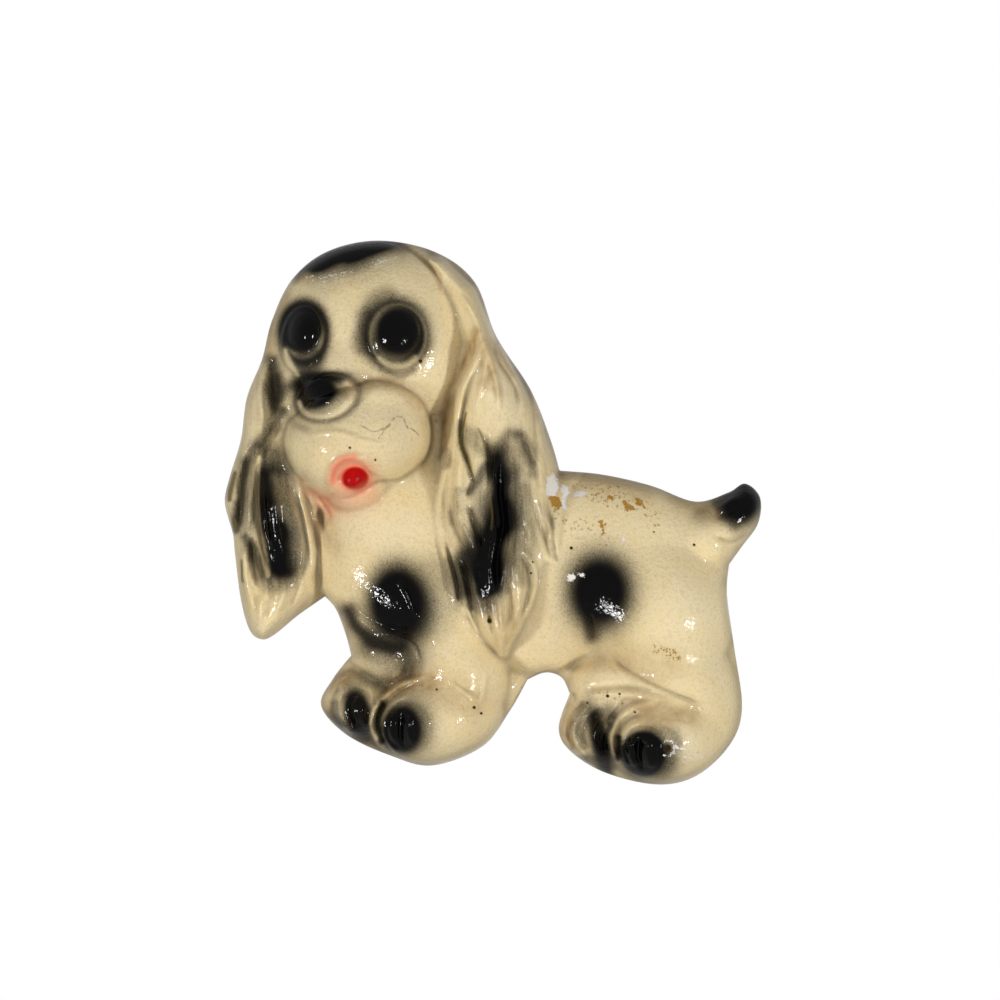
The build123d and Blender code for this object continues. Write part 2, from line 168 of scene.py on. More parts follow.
# Raised lines and, where the height is negative, grooves: points, width, height, shares of the ends that fade
LINES = [
    # the fold where the near ear leaves the skull
    ([(396, 244), (411, 253), (424, 262), (434, 274), (442, 292)], 4.0, -1.3, (0, 0.5)),
    ([(404, 241), (420, 252), (433, 264), (442, 277), (450, 292)], 3.5, 0.8, (0, 0.5)),
    ([(458, 294), (467, 306), (474, 318), (479, 332), (478, 350)], 3.2, 1.2, (0.3, 0.4)),
    # near ear, upper strands
    ([(482, 336), (475, 364), (462, 392), (456, 420), (452, 450), (448, 480)], 3.4, 1.5, (0.2, 0.5)),
    ([(478, 362), (470, 388), (464, 412), (462, 438), (468, 460), (474, 478)], 2.5, -1.3, (0.4, 0.2)),
    ([(481, 330), (486, 352), (484, 376), (478, 400), (474, 424)], 3.4, 1.0, (0.2, 0.4)),
    ([(486, 342), (490, 360), (495, 378), (498, 396), (498, 414)], 2.5, 1.1, (0.3, 0.3)),
    ([(491, 340), (498, 362), (508, 378), (515, 392), (517, 412)], 2.7, -1.2, (0.2, 0.3)),
    ([(496, 338), (506, 362), (516, 382), (522, 404), (522, 430)], 3.4, 1.2, (0.2, 0.4)),
    ([(502, 344), (518, 372), (530, 398), (534, 430), (535, 470)], 2.9, -0.8, (0.3, 0.3)),
    ([(520, 376), (533, 400), (540, 436), (541, 480), (545, 520)], 3.4, 1.0, (0.3, 0.3)),
    # near ear, middle locks
    ([(450, 446), (447, 462), (442, 482), (441, 505), (443, 530)], 2.5, 0.9, (0.3, 0.4)),
    ([(452, 440), (450, 458), (446, 474)], 2.2, -0.9, (0.4, 0.4)),
    ([(462, 440), (458, 470), (457, 500), (462, 525)], 3.4, 1.1, (0.4, 0.4)),
    ([(449, 500), (452, 520), (459, 538), (468, 552)], 2.5, -1.2, (0.3, 0.4)),
    ([(455, 495), (458, 515), (466, 532), (475, 548)], 2.5, 1.0, (0.3, 0.4)),
    ([(470, 500), (472, 520), (478, 540), (482, 560)], 3.1, -1.4, (0.4, 0.4)),
    ([(474, 478), (470, 490), (466, 500)], 2.5, -0.9, (0.3, 0.3)),
    ([(484, 430), (488, 450), (490, 475), (489, 500)], 3.1, -1.6, (0.3, 0.4)),
    ([(497, 430), (495, 462), (490, 500), (494, 535), (489, 568), (492, 600)], 2.9, 1.0, (0.3, 0.2)),
    ([(508, 436), (512, 470), (509, 505), (511, 535), (505, 568), (503, 596)], 3.1, 1.0, (0.3, 0.2)),
    ([(502, 450), (500, 495), (503, 525), (497, 560), (498, 600)], 2.2, -1.1, (0.3, 0.2)),
    ([(520, 436), (526, 452), (534, 470)], 3.1, -1.5, (0.3, 0.3)),
    ([(522, 470), (524, 500), (528, 530), (536, 560)], 3.1, 1.2, (0.4, 0.3)),
    ([(530, 490), (534, 512), (541, 532), (549, 555), (554, 566)], 2.4, -0.9, (0.3, 0.2)),
    ([(537, 486), (543, 512), (549, 530), (554, 548)], 2.5, 0.9, (0.3, 0.3)),
    ([(547, 500), (550, 524), (553, 545), (556, 564)], 1.9, -0.8, (0.4, 0.1)),
    # near ear, lower locks
    ([(437, 530), (443, 548), (449, 570), (453, 596)], 2.7, 1.1, (0.3, 0.1)),
    ([(443, 540), (450, 560), (456, 582), (459, 602)], 2.2, -1.3, (0.3, 0.1)),
    ([(452, 548), (458, 568), (463, 588), (464, 606)], 2.7, 1.2, (0.3, 0.1)),
    ([(462, 556), (466, 576), (470, 596), (472, 612)], 2.2, -1.3, (0.3, 0.1)),
    ([(470, 560), (474, 584), (478, 606), (484, 634)], 2.5, 1.2, (0.3, 0.2)),
    ([(466, 606), (472, 620), (480, 636)], 1.5, 0.8, (0.2, 0.3)),
    ([(486, 596), (488, 612), (492, 632), (498, 646)], 2.5, -0.9, (0.2, 0.4)),
    ([(498, 590), (500, 612), (503, 634)], 2.5, 1.0, (0.3, 0.3)),
    ([(508, 580), (510, 604), (508, 628)], 2.4, -1.0, (0.3, 0.3)),
    ([(514, 560), (519, 580), (519, 604), (514, 628)], 2.7, 1.2, (0.3, 0.3)),
    ([(516, 552), (525, 566), (528, 584), (524, 606), (518, 622)], 2.0, -1.3, (0.3, 0.3)),
    ([(520, 548), (531, 562), (535, 580), (531, 600), (524, 620)], 2.2, 1.1, (0.3, 0.3)),
    # far ear
    ([(272, 350), (274, 372), (276, 396), (276, 416), (266, 436)], 5.1, -1.9, (0.2, 0.3)),
    ([(262, 356), (254, 384), (247, 410), (246, 436)], 2.9, 0.9, (0.3, 0.4)),
    ([(266, 366), (262, 394), (264, 420), (258, 440)], 2.9, 1.0, (0.3, 0.4)),
    ([(257, 372), (252, 396), (252, 420), (256, 440)], 2.2, -0.2, (0.3, 0.4)),
    ([(282, 396), (280, 412), (270, 430), (258, 450), (250, 474)], 2.5, 0.9, (0.3, 0.4)),
    ([(288, 420), (278, 436), (268, 452), (262, 470)], 2.5, -0.8, (0.3, 0.3)),
    ([(258, 440), (250, 458), (246, 480), (243, 506), (241, 530)], 3.4, -1.9, (0.3, 0.1)),
    ([(244, 452), (238, 470), (233, 490), (231, 510), (235, 530)], 3.6, 1.5, (0.3, 0.2)),
    ([(262, 462), (256, 480), (252, 500), (250, 524), (246, 544)], 2.7, 1.5, (0.3, 0.3)),
    ([(262, 456), (258, 480), (258, 504), (262, 536), (266, 560), (270, 578)], 2.5, -1.9, (0.2, 0.2)),
    ([(266, 458), (264, 490), (268, 530), (274, 566)], 3.4, 1.4, (0.3, 0.3)),
    ([(276, 470), (276, 500), (280, 540), (284, 560)], 4.2, 0.9, (0.4, 0.3)),
    ([(250, 540), (246, 556), (247, 576), (252, 600), (256, 622)], 3.4, 1.5, (0.2, 0.4)),
    ([(243, 556), (243, 572), (245, 588)], 1.5, -0.9, (0.3, 0.3)),
    ([(252, 536), (254, 556), (257, 574), (262, 592)], 2.9, -1.7, (0.2, 0.3)),
    ([(262, 548), (264, 566), (268, 584), (270, 604)], 2.5, 1.4, (0.3, 0.4)),
    ([(266, 590), (262, 610), (260, 630)], 3.1, 0.8, (0.3, 0.4)),
    ([(276, 588), (270, 608), (266, 626)], 2.7, -0.7, (0.3, 0.4)),
    ([(290, 584), (282, 604), (276, 620)], 3.1, 0.9, (0.3, 0.4)),
    ([(302, 578), (296, 596), (288, 612)], 2.5, -0.7, (0.3, 0.4)),
    ([(290, 480), (297, 500), (303, 524), (307, 548), (306, 566), (300, 584)], 2.2, -1.1, (0.3, 0.2)),
    ([(294, 470), (302, 496), (309, 524), (313, 552), (312, 572), (304, 590)], 2.5, 1.2, (0.3, 0.2)),
    ([(302, 484), (309, 510), (316, 536), (322, 560)], 2.4, -0.4, (0.3, 0.3)),
    ([(308, 486), (316, 514), (323, 542), (326, 566)], 2.5, 0.9, (0.3, 0.3)),
    ([(318, 497), (322, 520), (330, 540), (332, 560)], 2.2, -0.4, (0.3, 0.4)),
    ([(318, 494), (324, 503), (331, 514), (334, 528)], 2.0, -0.7, (0.2, 0.5)),
    # mouth and chin
    ([(303, 481), (316, 489), (328, 496), (340, 499)], 2.2, 0.9, (0.2, 0.3)),
    ([(304, 439), (320, 435), (338, 434), (353, 438), (367, 443), (383, 445),
      (402, 439)], 3.0, 0.45, (0.2, 0.2)),
    ([(332, 492), (332, 480), (336, 468), (346, 460), (358, 459), (369, 465),
      (377, 476)], 3.4, 1.0, (0.1, 0.2)),
    # upper arm, and the chest's fold beside the far leg
    ([(399, 578), (408, 594), (414, 608), (420, 622)], 1.8, 0.9, (0.1, 0.2)),
    ([(342, 592), (350, 606), (362, 618), (378, 627), (394, 633), (408, 632)], 3.0, 1.2, (0.2, 0.2)),
    # forepaws: the toes' rims
    ([(448, 679), (462, 689), (476, 699)], 1.8, 0.5, (0.2, 0.2)),
    ([(486, 667), (484, 686), (480, 704)], 1.8, 0.5, (0.2, 0.2)),
    ([(430, 675), (412, 679), (396, 687), (382, 699), (374, 714), (373, 728), (378, 741),
      (388, 750)], 3.0, 1.8, (0.2, 0.1)),
    ([(420, 684), (404, 689), (390, 700), (381, 713), (379, 728), (384, 741),
      (394, 751)], 2.6, -1.2, (0.2, 0.1)),
    ([(410, 692), (396, 700), (386, 713), (384, 727), (388, 741), (400, 753)], 2.4, 1.6, (0.2, 0.1)),
    ([(396, 708), (391, 720), (392, 732), (397, 744)], 3.4, 1.2, (0.3, 0.3)),
    ([(404, 706), (401, 722), (402, 738), (408, 748)], 2.0, -1.2, (0.3, 0.3)),
    ([(412, 708), (410, 722), (411, 736), (416, 746)], 3.2, 1.0, (0.3, 0.3)),
    ([(350, 682), (342, 692), (340, 706), (345, 722), (356, 734)], 2.6, 1.5, (0.2, 0.1)),
    ([(343, 684), (334, 696), (333, 710), (339, 724)], 3.0, -1.2, (0.2, 0.2)),
    ([(360, 690), (351, 700), (350, 714), (358, 728)], 3.4, -1.2, (0.2, 0.2)),
    ([(372, 694), (364, 706), (364, 718), (370, 730)], 3.0, 1.0, (0.2, 0.2)),
    # hind paws
    ([(652, 700), (632, 706), (618, 717), (611, 732), (611, 748), (620, 764)], 3.0, 1.8, (0.2, 0.1)),
    ([(644, 712), (628, 718), (618, 730), (616, 746), (622, 762)], 2.2, -1.2, (0.2, 0.1)),
    ([(640, 720), (628, 726), (620, 738), (620, 752), (628, 766)], 2.0, 1.3, (0.2, 0.1)),
    ([(630, 736), (628, 752), (634, 766)], 2.6, 1.3, (0.2, 0.2)),
    ([(638, 734), (636, 752), (642, 770)], 2.2, -1.2, (0.2, 0.2)),
    ([(646, 736), (645, 752), (651, 768)], 3.0, 1.0, (0.2, 0.2)),
    ([(594, 698), (580, 712), (572, 728), (574, 744), (586, 758)], 2.6, 1.5, (0.2, 0.1)),
    ([(586, 696), (572, 712), (566, 728), (570, 744)], 2.6, -1.0, (0.3, 0.2)),
    ([(602, 704), (588, 718), (582, 734), (588, 750)], 2.8, -1.3, (0.2, 0.2)),
    ([(612, 706), (598, 720), (592, 736), (598, 752), (606, 764)], 3.0, 1.2, (0.2, 0.2)),
    ([(612, 720), (604, 736), (604, 752)], 2.6, -1.4, (0.2, 0.2)),
    # folds behind the hind legs
    ([(562, 668), (580, 667), (600, 658), (606, 654)], 4.0, -0.7, (0.3, 0.4)),
    ([(578, 690), (596, 687), (620, 686), (648, 690), (680, 700)], 3.0, -0.9, (0.2, 0.4)),
    ([(576, 697), (596, 694), (620, 693), (650, 697)], 3.0, 0.7, (0.2, 0.4)),
    ([(571, 690), (574, 700), (566, 712)], 3.0, -0.8, (0.2, 0.4)),
    # haunch groove through the spot
    ([(588, 602), (588, 618), (591, 638), (596, 652)], 3.6, -0.9, (0.4, 0.4)),
    # tail
    ([(712, 536), (730, 542), (748, 530)], 3.0, -0.9, (0.2, 0.3)),
    ([(706, 512), (722, 506), (736, 494)], 3.0, 0.9, (0.3, 0.3)),
    ([(712, 520), (726, 514), (742, 506)], 3.0, -0.9, (0.3, 0.3)),
]

# Edges where one form stands over the next: points, lift of the left side and its reach, dip of the right
# side and its reach
EDGES = [
    ([(420, 672), (418, 654), (410, 641), (396, 636), (379, 631), (362, 621), (351, 609),
      (343, 594)], 0.6, 8, 2.2, 12),
    ([(704, 706), (676, 696), (648, 684), (620, 668), (603, 652)], 0.8, 9, 1.5, 14),
    ([(351, 658), (364, 668), (378, 677), (390, 681)], 0.3, 6, 1.2, 7),
]

# Airbrushed spots: centre, radii of the solid middle, tilt, how far the spray fades, strength
BLACK_SPOTS = [
    ((399, 333), (17, 18), 0, 7, 1),          # near pupil, its shadow below, and the ball
    ((399, 346), (13, 7), 0, 12, 0.7),
    ((397, 336), (25, 27), 0, 6, 0.42),
    ((303, 330), (18, 20), 0, 8, 1),          # far eye
    ((311, 362), (8, 10), 0, 11, 0.55),
    ((319, 396), (15, 10), -16, 7, 1),        # nose
    ((305, 387), (5, 3), -8, 9, 0.75),
    ((320, 382), (12, 3), -8, 6, 0.8),
    ((324, 404), (20, 11), -14, 6, 0.3),
    ((398, 603), (18, 24), 0, 20, 1),         # shoulder
    ((414, 612), (10, 14), 0, 18, 0.5),
    ((598, 591), (17, 20), 0, 26, 1),         # flank
    ((402, 728), (15, 18), 0, 9, 1),          # near fore toes
    ((412, 724), (12, 15), 0, 17, 0.5),
    ((359, 712), (9, 17), -14, 8, 0.95),      # far fore toes
    ((352, 732), (12, 3), 28, 9, 0.5),
    ((641, 752), (19, 20), 0, 6, 1),          # near hind toes
    ((655, 757), (12, 12), 0, 15, 0.6),
    ((599, 742), (5, 20), -14, 7, 0.95),      # far hind toes
    ((604, 716), (4, 6), 25, 9, 0.45),
    ((740, 502), (14, 12), -40, 15, 1),       # tail
]
# Rings of spray: centre, radii, tilt, how far it fades inwards and outwards, strength
BLACK_RINGS = [
    ((395, 336), (28, 30), 0, 6, 12, 0.72),
    ((306, 335), (22, 29), 0, 4, 8, 0.75),
    ((329, 399), (31, 22), -14, 2.5, 6, 0.4),
]
# Airbrushed strokes: points with the half width of the solid middle at each, fade, strength
BLACK_STROKES = [
    # far ear
    ([(272, 358, 0.5), (275, 376, 2), (277, 392, 3), (276, 408, 2)], 8, 0.62),
    ([(278, 380, 2), (279, 400, 2)], 6, 0.35),
    ([(284, 412, 0.5), (272, 428, 2), (260, 444, 1)], 6, 0.5),
    ([(259, 452, 2), (270, 458, 6), (281, 464, 4)], 12, 0.5),
    ([(267, 474, 2), (267, 495, 4), (268, 515, 5)], 8, 0.85),
    ([(269, 508, 4), (275, 530, 7), (278, 548, 8), (280, 562, 6), (281, 568, 4)], 11, 1),
    ([(277, 476, 6), (282, 505, 9), (287, 535, 9), (289, 560, 8)], 12, 0.55),
    ([(274, 582, 4), (290, 578, 4)], 11, 0.4),
    ([(249, 462, 1), (246, 482, 2), (243, 505, 2), (239, 527, 1)], 7, 0.48),
    ([(257, 468, 5), (253, 500, 6), (250, 525, 4)], 8, 0.2),
    ([(237, 505, 1), (239, 530, 1)], 4, 0.4),
    ([(249, 538, 0.5), (254, 551, 2), (260, 564, 2), (265, 574, 1)], 7, 0.6),
    ([(306, 480, 2), (312, 500, 3), (318, 520, 2)], 10, 0.07),
    # near ear
    ([(499, 460, 1), (500, 480, 4), (500, 500, 5), (497, 522, 7), (491, 545, 9), (487, 568, 10),
      (486, 584, 7)], 13, 1),
    ([(506, 455, 4), (508, 490, 5), (507, 540, 6), (502, 585, 3)], 13, 0.4),
    ([(484, 500, 2), (477, 530, 3), (468, 560, 4)], 12, 0.3),
    ([(470, 552, 0), (465, 568, 1), (463, 582, 2), (464, 590, 1)], 11, 0.68),
    ([(488, 468, 1), (480, 480, 1), (471, 492, 1)], 6, 0.5),
    ([(497, 448, 2), (508, 438, 2), (519, 433, 1)], 8, 0.36),
    ([(519, 436, 1), (526, 453, 2), (532, 474, 1)], 7, 0.36),
    ([(466, 436, 3), (478, 442, 5), (487, 452, 4)], 10, 0.28),
    ([(462, 424, 0.5), (462, 446, 0.8), (469, 470, 0.8), (473, 480, 0.5)], 3, 0.5),
    ([(444, 449, 1), (445, 463, 1)], 5, 0.28),
    ([(458, 492, 1), (455, 512, 1)], 6, 0.22),
    ([(453, 520, 0.5), (459, 532, 1), (467, 544, 1)], 5, 0.2),
    ([(470, 512, 1), (476, 530, 2), (478, 545, 2)], 5, 0.45),
    ([(524, 488, 1), (526, 515, 2), (527, 545, 3), (521, 580, 2)], 8, 0.24),
    ([(544, 505, 0.5), (549, 530, 1), (555, 558, 0.5)], 4, 0.15),
    ([(450, 562, 1), (454, 584, 2), (458, 600, 1)], 8, 0.25),
    ([(476, 602, 3), (490, 604, 3)], 9, 0.4),
    # chest, legs and tail
    ([(350, 609, 0), (358, 623, 1), (371, 637, 2), (388, 646, 2), (400, 647, 1)], 13, 0.78),
    ([(366, 646, 3), (384, 658, 5), (404, 664, 3)], 15, 0.34),
    ([(410, 640, 1), (414, 653, 2), (408, 666, 2)], 10, 0.3),
    ([(364, 676, 1), (378, 682, 3), (390, 680, 2)], 9, 0.4),
    ([(386, 704, 1), (380, 722, 1.2), (384, 741, 1)], 3.5, 0.75),
    ([(336, 698, 1), (336, 712, 2), (343, 726, 2)], 5, 0.4),
    ([(588, 606, 3), (588, 620, 2), (590, 636, 1)], 9, 0.55),
    ([(582, 704, 1), (577, 722, 1), (581, 744, 1)], 6, 0.35),
    ([(586, 758, 1), (602, 768, 2)], 7, 0.4),
    ([(617, 736, 0.5), (618, 757, 0.8)], 3, 0.8),
    ([(650, 724, 1), (666, 732, 1), (674, 744, 1)], 7, 0.3),
    ([(716, 504, 1), (726, 512, 3), (738, 522, 2)], 9, 0.5),
    # brow, snout and the chest's dust
    ([(312, 286, 1), (338, 281, 2), (368, 274, 3), (396, 262, 2)], 12, 0.1),
    ([(366, 318, 2), (364, 338, 3), (368, 352, 2)], 9, 0.3),
    ([(366, 310, 1), (376, 300, 2), (390, 295, 1)], 10, 0.25),
    ([(384, 370, 1), (399, 375, 1.5), (414, 370, 1)], 5, 0.28),
    ([(302, 378, 2), (314, 378, 3), (330, 378, 2), (342, 380, 1)], 7, 0.6),
    ([(286, 412, 1), (294, 424, 1), (308, 430, 1)], 6, 0.2),
    ([(436, 575, 4), (440, 600, 6), (430, 625, 4)], 22, 0.18),
]
CAP = [(296, 276), (308, 277), (316, 280), (326, 279), (337, 278), (347, 275), (358, 272), (371, 267),
       (383, 262), (394, 257), (404, 252), (408, 246), (400, 220), (300, 220)]
# Lines that a thumb wiped clean of black
WIPED_STROKES = [
    ([(287, 352, 0), (289, 360, 1), (293, 368, 1), (299, 376, 0)], 3, 0.8),
    ([(381, 361, 0), (389, 367, 1), (399, 369, 1.6), (409, 367, 1), (416, 361, 0)], 4.5, 0.5),
    ([(301, 404, 0.5), (305, 412, 0.8), (313, 417, 1), (326, 418, 1), (340, 413, 1.2), (351, 403, 1.2),
      (355, 395, 1)], 2.5, 0.6),
    ([(261, 458, 0.5), (258, 480, 1), (258, 505, 1.2), (261, 535, 1.2), (266, 558, 1),
      (270, 576, 0.5)], 2, 0.85),
    ([(376, 706, 0.8), (373, 722, 1.2), (376, 738, 0.8)], 2.2, 0.7),
]
WIPED_RINGS = [
    ((399, 338), (27.5, 31), 0, 2, 2, 0.2),
]
# Ochre airbrush, and age in the folds
OCHRE_STROKES = [
    ([(398, 250, 0.5), (412, 254, 1), (426, 264, 1), (436, 276, 1), (442, 292, 0.5)], 3, 0.5),
    ([(476, 334, 1), (471, 350, 2), (460, 372, 1.6), (450, 394, 1), (445, 414, 0.6),
      (442, 440, 0.4)], 6, 0.9),
    ([(484, 345, 1.5), (485, 365, 3), (484, 385, 1.5)], 7, 0.6),
    ([(496, 345, 1), (500, 362, 2), (508, 378, 1)], 6, 0.5),
    ([(506, 342, 2), (526, 378, 4), (540, 410, 2)], 10, 0.4),
    ([(490, 372, 1.5), (495, 395, 1.5)], 4, 0.5),
    ([(284, 300, 2), (276, 330, 4), (268, 352, 2)], 9, 0.5),
    ([(300, 272, 3), (312, 280, 3)], 8, 0.5),
    ([(252, 392, 3), (256, 420, 3)], 7, 0.12),
    ([(350, 388, 1.2), (370, 384, 2.5), (395, 387, 2.5), (418, 404, 1.2)], 7, 0.55),
    ([(340, 392, 3), (352, 396, 3)], 6, 0.5),
    ([(428, 410, 1), (432, 440, 2), (424, 462, 1)], 8, 0.15),
    ([(395, 684, 2.5), (410, 680, 5), (430, 680, 2.5)], 10, 0.8),
    ([(388, 700, 1.5), (398, 692, 3), (412, 690, 1.5)], 7, 0.5),
    ([(336, 684, 1.5), (345, 680, 3), (352, 676, 1.5)], 7, 0.8),
    ([(330, 700, 2), (328, 712, 2)], 6, 0.4),
    ([(420, 676, 4), (450, 690, 8), (472, 704, 4)], 22, 0.4),
    ([(640, 704, 3), (660, 706, 5), (685, 714, 3)], 14, 0.6),
    ([(645, 718, 4), (660, 722, 4)], 12, 0.35),
    ([(571, 722, 0.8), (570, 735, 1.5), (573, 746, 0.8)], 2.5, 1),
    ([(566, 712, 3), (564, 730, 3)], 6, 0.4),
    ([(580, 664, 1.5), (600, 657, 3), (620, 668, 1.5)], 9, 0.3),
    ([(622, 655, 4), (650, 664, 8), (668, 660, 4)], 18, 0.35),
    ([(704, 512, 1.5), (716, 516, 3), (722, 510, 1.5)], 8, 0.6),
    ([(700, 520, 1.5), (690, 512, 3), (670, 500, 1.5)], 9, 0.35),
    ([(556, 480, 2.5), (600, 484, 5), (640, 492, 2.5)], 14, 0.4),
    ([(486, 610, 3), (498, 626, 6), (500, 640, 3)], 12, 0.4),
    ([(514, 600, 2), (512, 624, 2)], 5, 0.4),
    ([(332, 545, 5), (322, 520, 5)], 12, 0.35),
    ([(318, 520, 3), (312, 500, 3)], 9, 0.3),
    ([(330, 450, 8), (355, 450, 12), (385, 444, 12)], 22, 0.15),
    ([(515, 622, 8), (545, 632, 14), (575, 636, 10)], 24, 0.22),
]
RED_SPOTS = [
    ((357, 479), (9.5, 8), 0, 6, 1),
    ((355, 477), (10, 9), 0, 17, 0.42),
]
# Thin red round the mouth
RED_STROKES = [
    ([(334, 484, 0.5), (336, 470, 1), (344, 461, 1), (356, 458, 0.5)], 4, 0.45),
    ([(316, 494, 1), (324, 502, 2), (331, 512, 1)], 9, 0.24),
    ([(303, 480, 1), (308, 492, 1)], 8, 0.14),
    ([(334, 500, 1.5), (352, 503, 3), (372, 497, 1.5)], 14, 0.2),
]
# Stained varnish in the deep cracks
OLIVE_STROKES = [
    ([(466, 414, 0), (463, 428, 0.2), (460, 438, 0.3), (462, 448, 0.3), (466, 460, 0.2), (471, 472, 0.2),
      (473, 477, 0)], 1.8, 0.85),
    ([(478, 430, 0), (483, 440, 0.3), (487, 455, 0)], 2.4, 0.6),
    ([(236, 474, 0.5), (232, 490, 1.1), (231, 500, 0.5)], 4, 0.8),
    ([(236, 520, 0.5), (237, 532, 0.5)], 2, 0.9),
    ([(243, 560, 0.3), (244, 582, 0.3)], 1.6, 0.8),
    ([(489, 616, 0.5), (490, 621, 0.5)], 1.8, 1),
    ([(490, 500, 0), (492, 515, 0.2), (491, 530, 0)], 2.2, 0.45),
]

# Flaked, chipped and cracked places: outlines with crisp edges, and strokes where the wear is only scattered
FLAKES = (
    ((546, 478), (553, 474), (557, 482), (556, 494), (549, 500), (545, 490)),
    ((560, 488), (566, 486), (568, 494), (565, 502), (566, 510), (559, 508), (561, 498)),
    ((572, 494), (580, 491), (587, 493), (582, 497), (575, 498)),
    ((568, 573), (571, 571), (575, 577), (572, 581), (567, 579)),
    ((578, 573), (582, 573), (582, 577), (578, 577)),
    ((620, 538), (624, 537), (624, 541), (620, 541)),
)
FLAKE_STROKES = (
    ([(308, 280, 1), (322, 281, 3), (338, 277, 3), (352, 273, 2)], 4, 0.42),
    ([(372, 267, 1), (384, 265, 3), (396, 260, 1)], 4, 0.44),
    ([(548, 486, 5), (566, 496, 5), (590, 494, 3)], 7, 0.3),
    ([(659, 743, 0.8), (663, 739, 0.8), (670, 740, 0.8), (672, 746, 0.8), (668, 753, 0.8), (661, 753, 0.5)],
     1.6, 0.62),
    ([(671, 745, 0.8), (682, 747, 0.6), (700, 756, 0.4)], 1.6, 0.6),
    ([(672, 751, 0.6), (684, 756, 0.4), (694, 756, 0.2)], 1.6, 0.56),
    ([(612, 640, 3), (650, 636, 8), (690, 620, 6)], 24, 0.16),
)
CHIPS = (
    ((548, 497), (557, 498), (561, 506), (556, 509), (550, 504)),
    ((606, 497), (610, 495), (613, 499), (608, 501)),
    ((620, 500), (628, 504), (634, 509), (627, 511), (622, 506)),
    ((633, 499), (639, 500), (642, 507), (635, 505)),
    ((598, 521), (602, 520), (604, 531), (601, 534), (599, 527)),
)
CHIP_STROKES = (
    ([(556, 512, 3), (570, 525, 6), (590, 530, 8), (600, 545, 4)], 12, 0.33),
    ([(575, 486, 2), (605, 496, 9), (635, 504, 7), (655, 520, 3)], 14, 0.35),
    ([(654, 648, 2), (664, 652, 4), (674, 657, 3)], 7, 0.44),
    ([(598, 694, 2), (618, 697, 3), (634, 704, 2)], 6, 0.34),
    ([(690, 500, 3), (712, 516, 4), (716, 530, 3)], 10, 0.26),
)
CRACKS = (
    ([(361, 426, 0), (367, 429, 0), (372, 432, 0), (378, 433, 0), (384, 430, 0), (388, 429, 0), (392, 427, 0)],
     2.4, 0.9),
    ([(380, 440, 0), (385, 433, 0), (391, 425, 0), (396, 419, 0), (401, 418, 0), (405, 421, 0), (408, 428, 0),
      (414, 431, 0), (420, 437, 0)], 2.6, 0.9),
    ([(463, 412, 0), (462, 426, 0), (459, 440, 0), (463, 454, 0), (469, 466, 0), (472, 478, 0)], 2.4, 0.9),
    ([(426, 398, 1), (432, 406, 4), (434, 422, 3)], 6, 0.66),
    ([(560, 484, 3), (600, 486, 6), (640, 498, 5)], 12, 0.56),
    ([(556, 520, 3), (580, 530, 8), (600, 540, 4)], 14, 0.54),
    ([(596, 694, 2), (622, 696, 3)], 6, 0.58),
)
# Air holes that the plaster left: centre and radius
PINHOLES = (
    ((421, 363), 1.8), ((489, 620), 2.2), ((474, 706), 1.6), ((481, 712), 1.4), ((437, 688), 1.2),
    ((692, 545), 1.4), ((606, 695), 1.7), ((618, 693), 1.3), ((633, 711), 1.2), ((586, 702), 1.2),
    ((570, 548), 1.6), ((652, 532), 1.1), ((403, 356), 0.9), ((530, 573), 1.2), ((532, 562), 1.1),
    ((377, 461), 1.2), ((352, 449), 1.3), ((665, 746), 2.8),
)

# How the front is modelled, in units of the drawing across it and in millimetres off the wall
SCULPTING_PITCH = 1.0    # the grid that the relief is modelled on
DRAWING_MARGIN = 4       # how far that grid goes on past the outline
SNAP_SHARE = 0.25        # a grid point this near to the outline, in pitches, moves onto it
OUTLINE_PARTS = 8        # steps from one point of the outline to the next
STROKE_PARTS = 5         # the same for every other line
NO_LENGTH = 1e-9         # a step shorter than this has no direction
BELL_REACH = 3           # how many widths out a bell curve is followed
FLANK_FALL = 25          # how steeply a mass falls away past its edge
EAR_BLEND = 3            # how far an ear's flank flows into what it lies on
EAR_END_FALL = 2         # how steeply an ear falls away past its ends
EDGE_THICKNESS = 8       # the casting's plain edge
MASS_SOFTNESS = 2.5      # how far the masses melt into each other, and then the sheets laid over them
SHEET_SOFTNESS = 1.3
EAR_ROOT_TOP = 262       # where the near ear starts to stand off the skull, and where it is clear of it
EAR_ROOT_FOOT = 345
EAR_ROOT_SHARE = 0.12    # how much of its rise the near ear has above that
EDGE_SOFTNESS = 2.5      # how far the step between two forms takes to reach its height
EDGE_ENDS = (0.2, 0.2)   # the shares of an edge's ends that fade
PINHOLE_DEPTH = 0.5
PINHOLE_FLARE = 1.4      # how wide a pinhole opens at the surface, in radii
# How the paint lies
SPRAY_FALL = 2           # how steeply a spray fades over its reach
HOLE_SHADE = 2           # how far out a pinhole's painted shade and dirt fades, in radii
WEAR_SOFTNESS = 4        # how wide the edge of a flake or chip is before it tears
HOLLOWS = ((2.2, 1.3), (14, 0.03))   # painted shade and dirt: how wide the hollows are, and how much darker a deeper one gets
HAIR_FADE = 10           # how far in from an ear's outline its hair begins
CAP_SOFTNESS = 8
MIST_REACH = 16          # the finest spray, which drifts far from its spot
MIST_STRENGTH = 0.09
COVERAGE = 1.9           # how much faster a thin spray hides the cream than it dries on it
HAIR_STRETCH = 0.12      # the scale of the strands' pattern down the hair, against across it
WAVER_SEED = 4           # the slow waves that keep sprayed edges from looking ruled
WAVER_LENGTH = 7
WAVER_REACH = 1.8
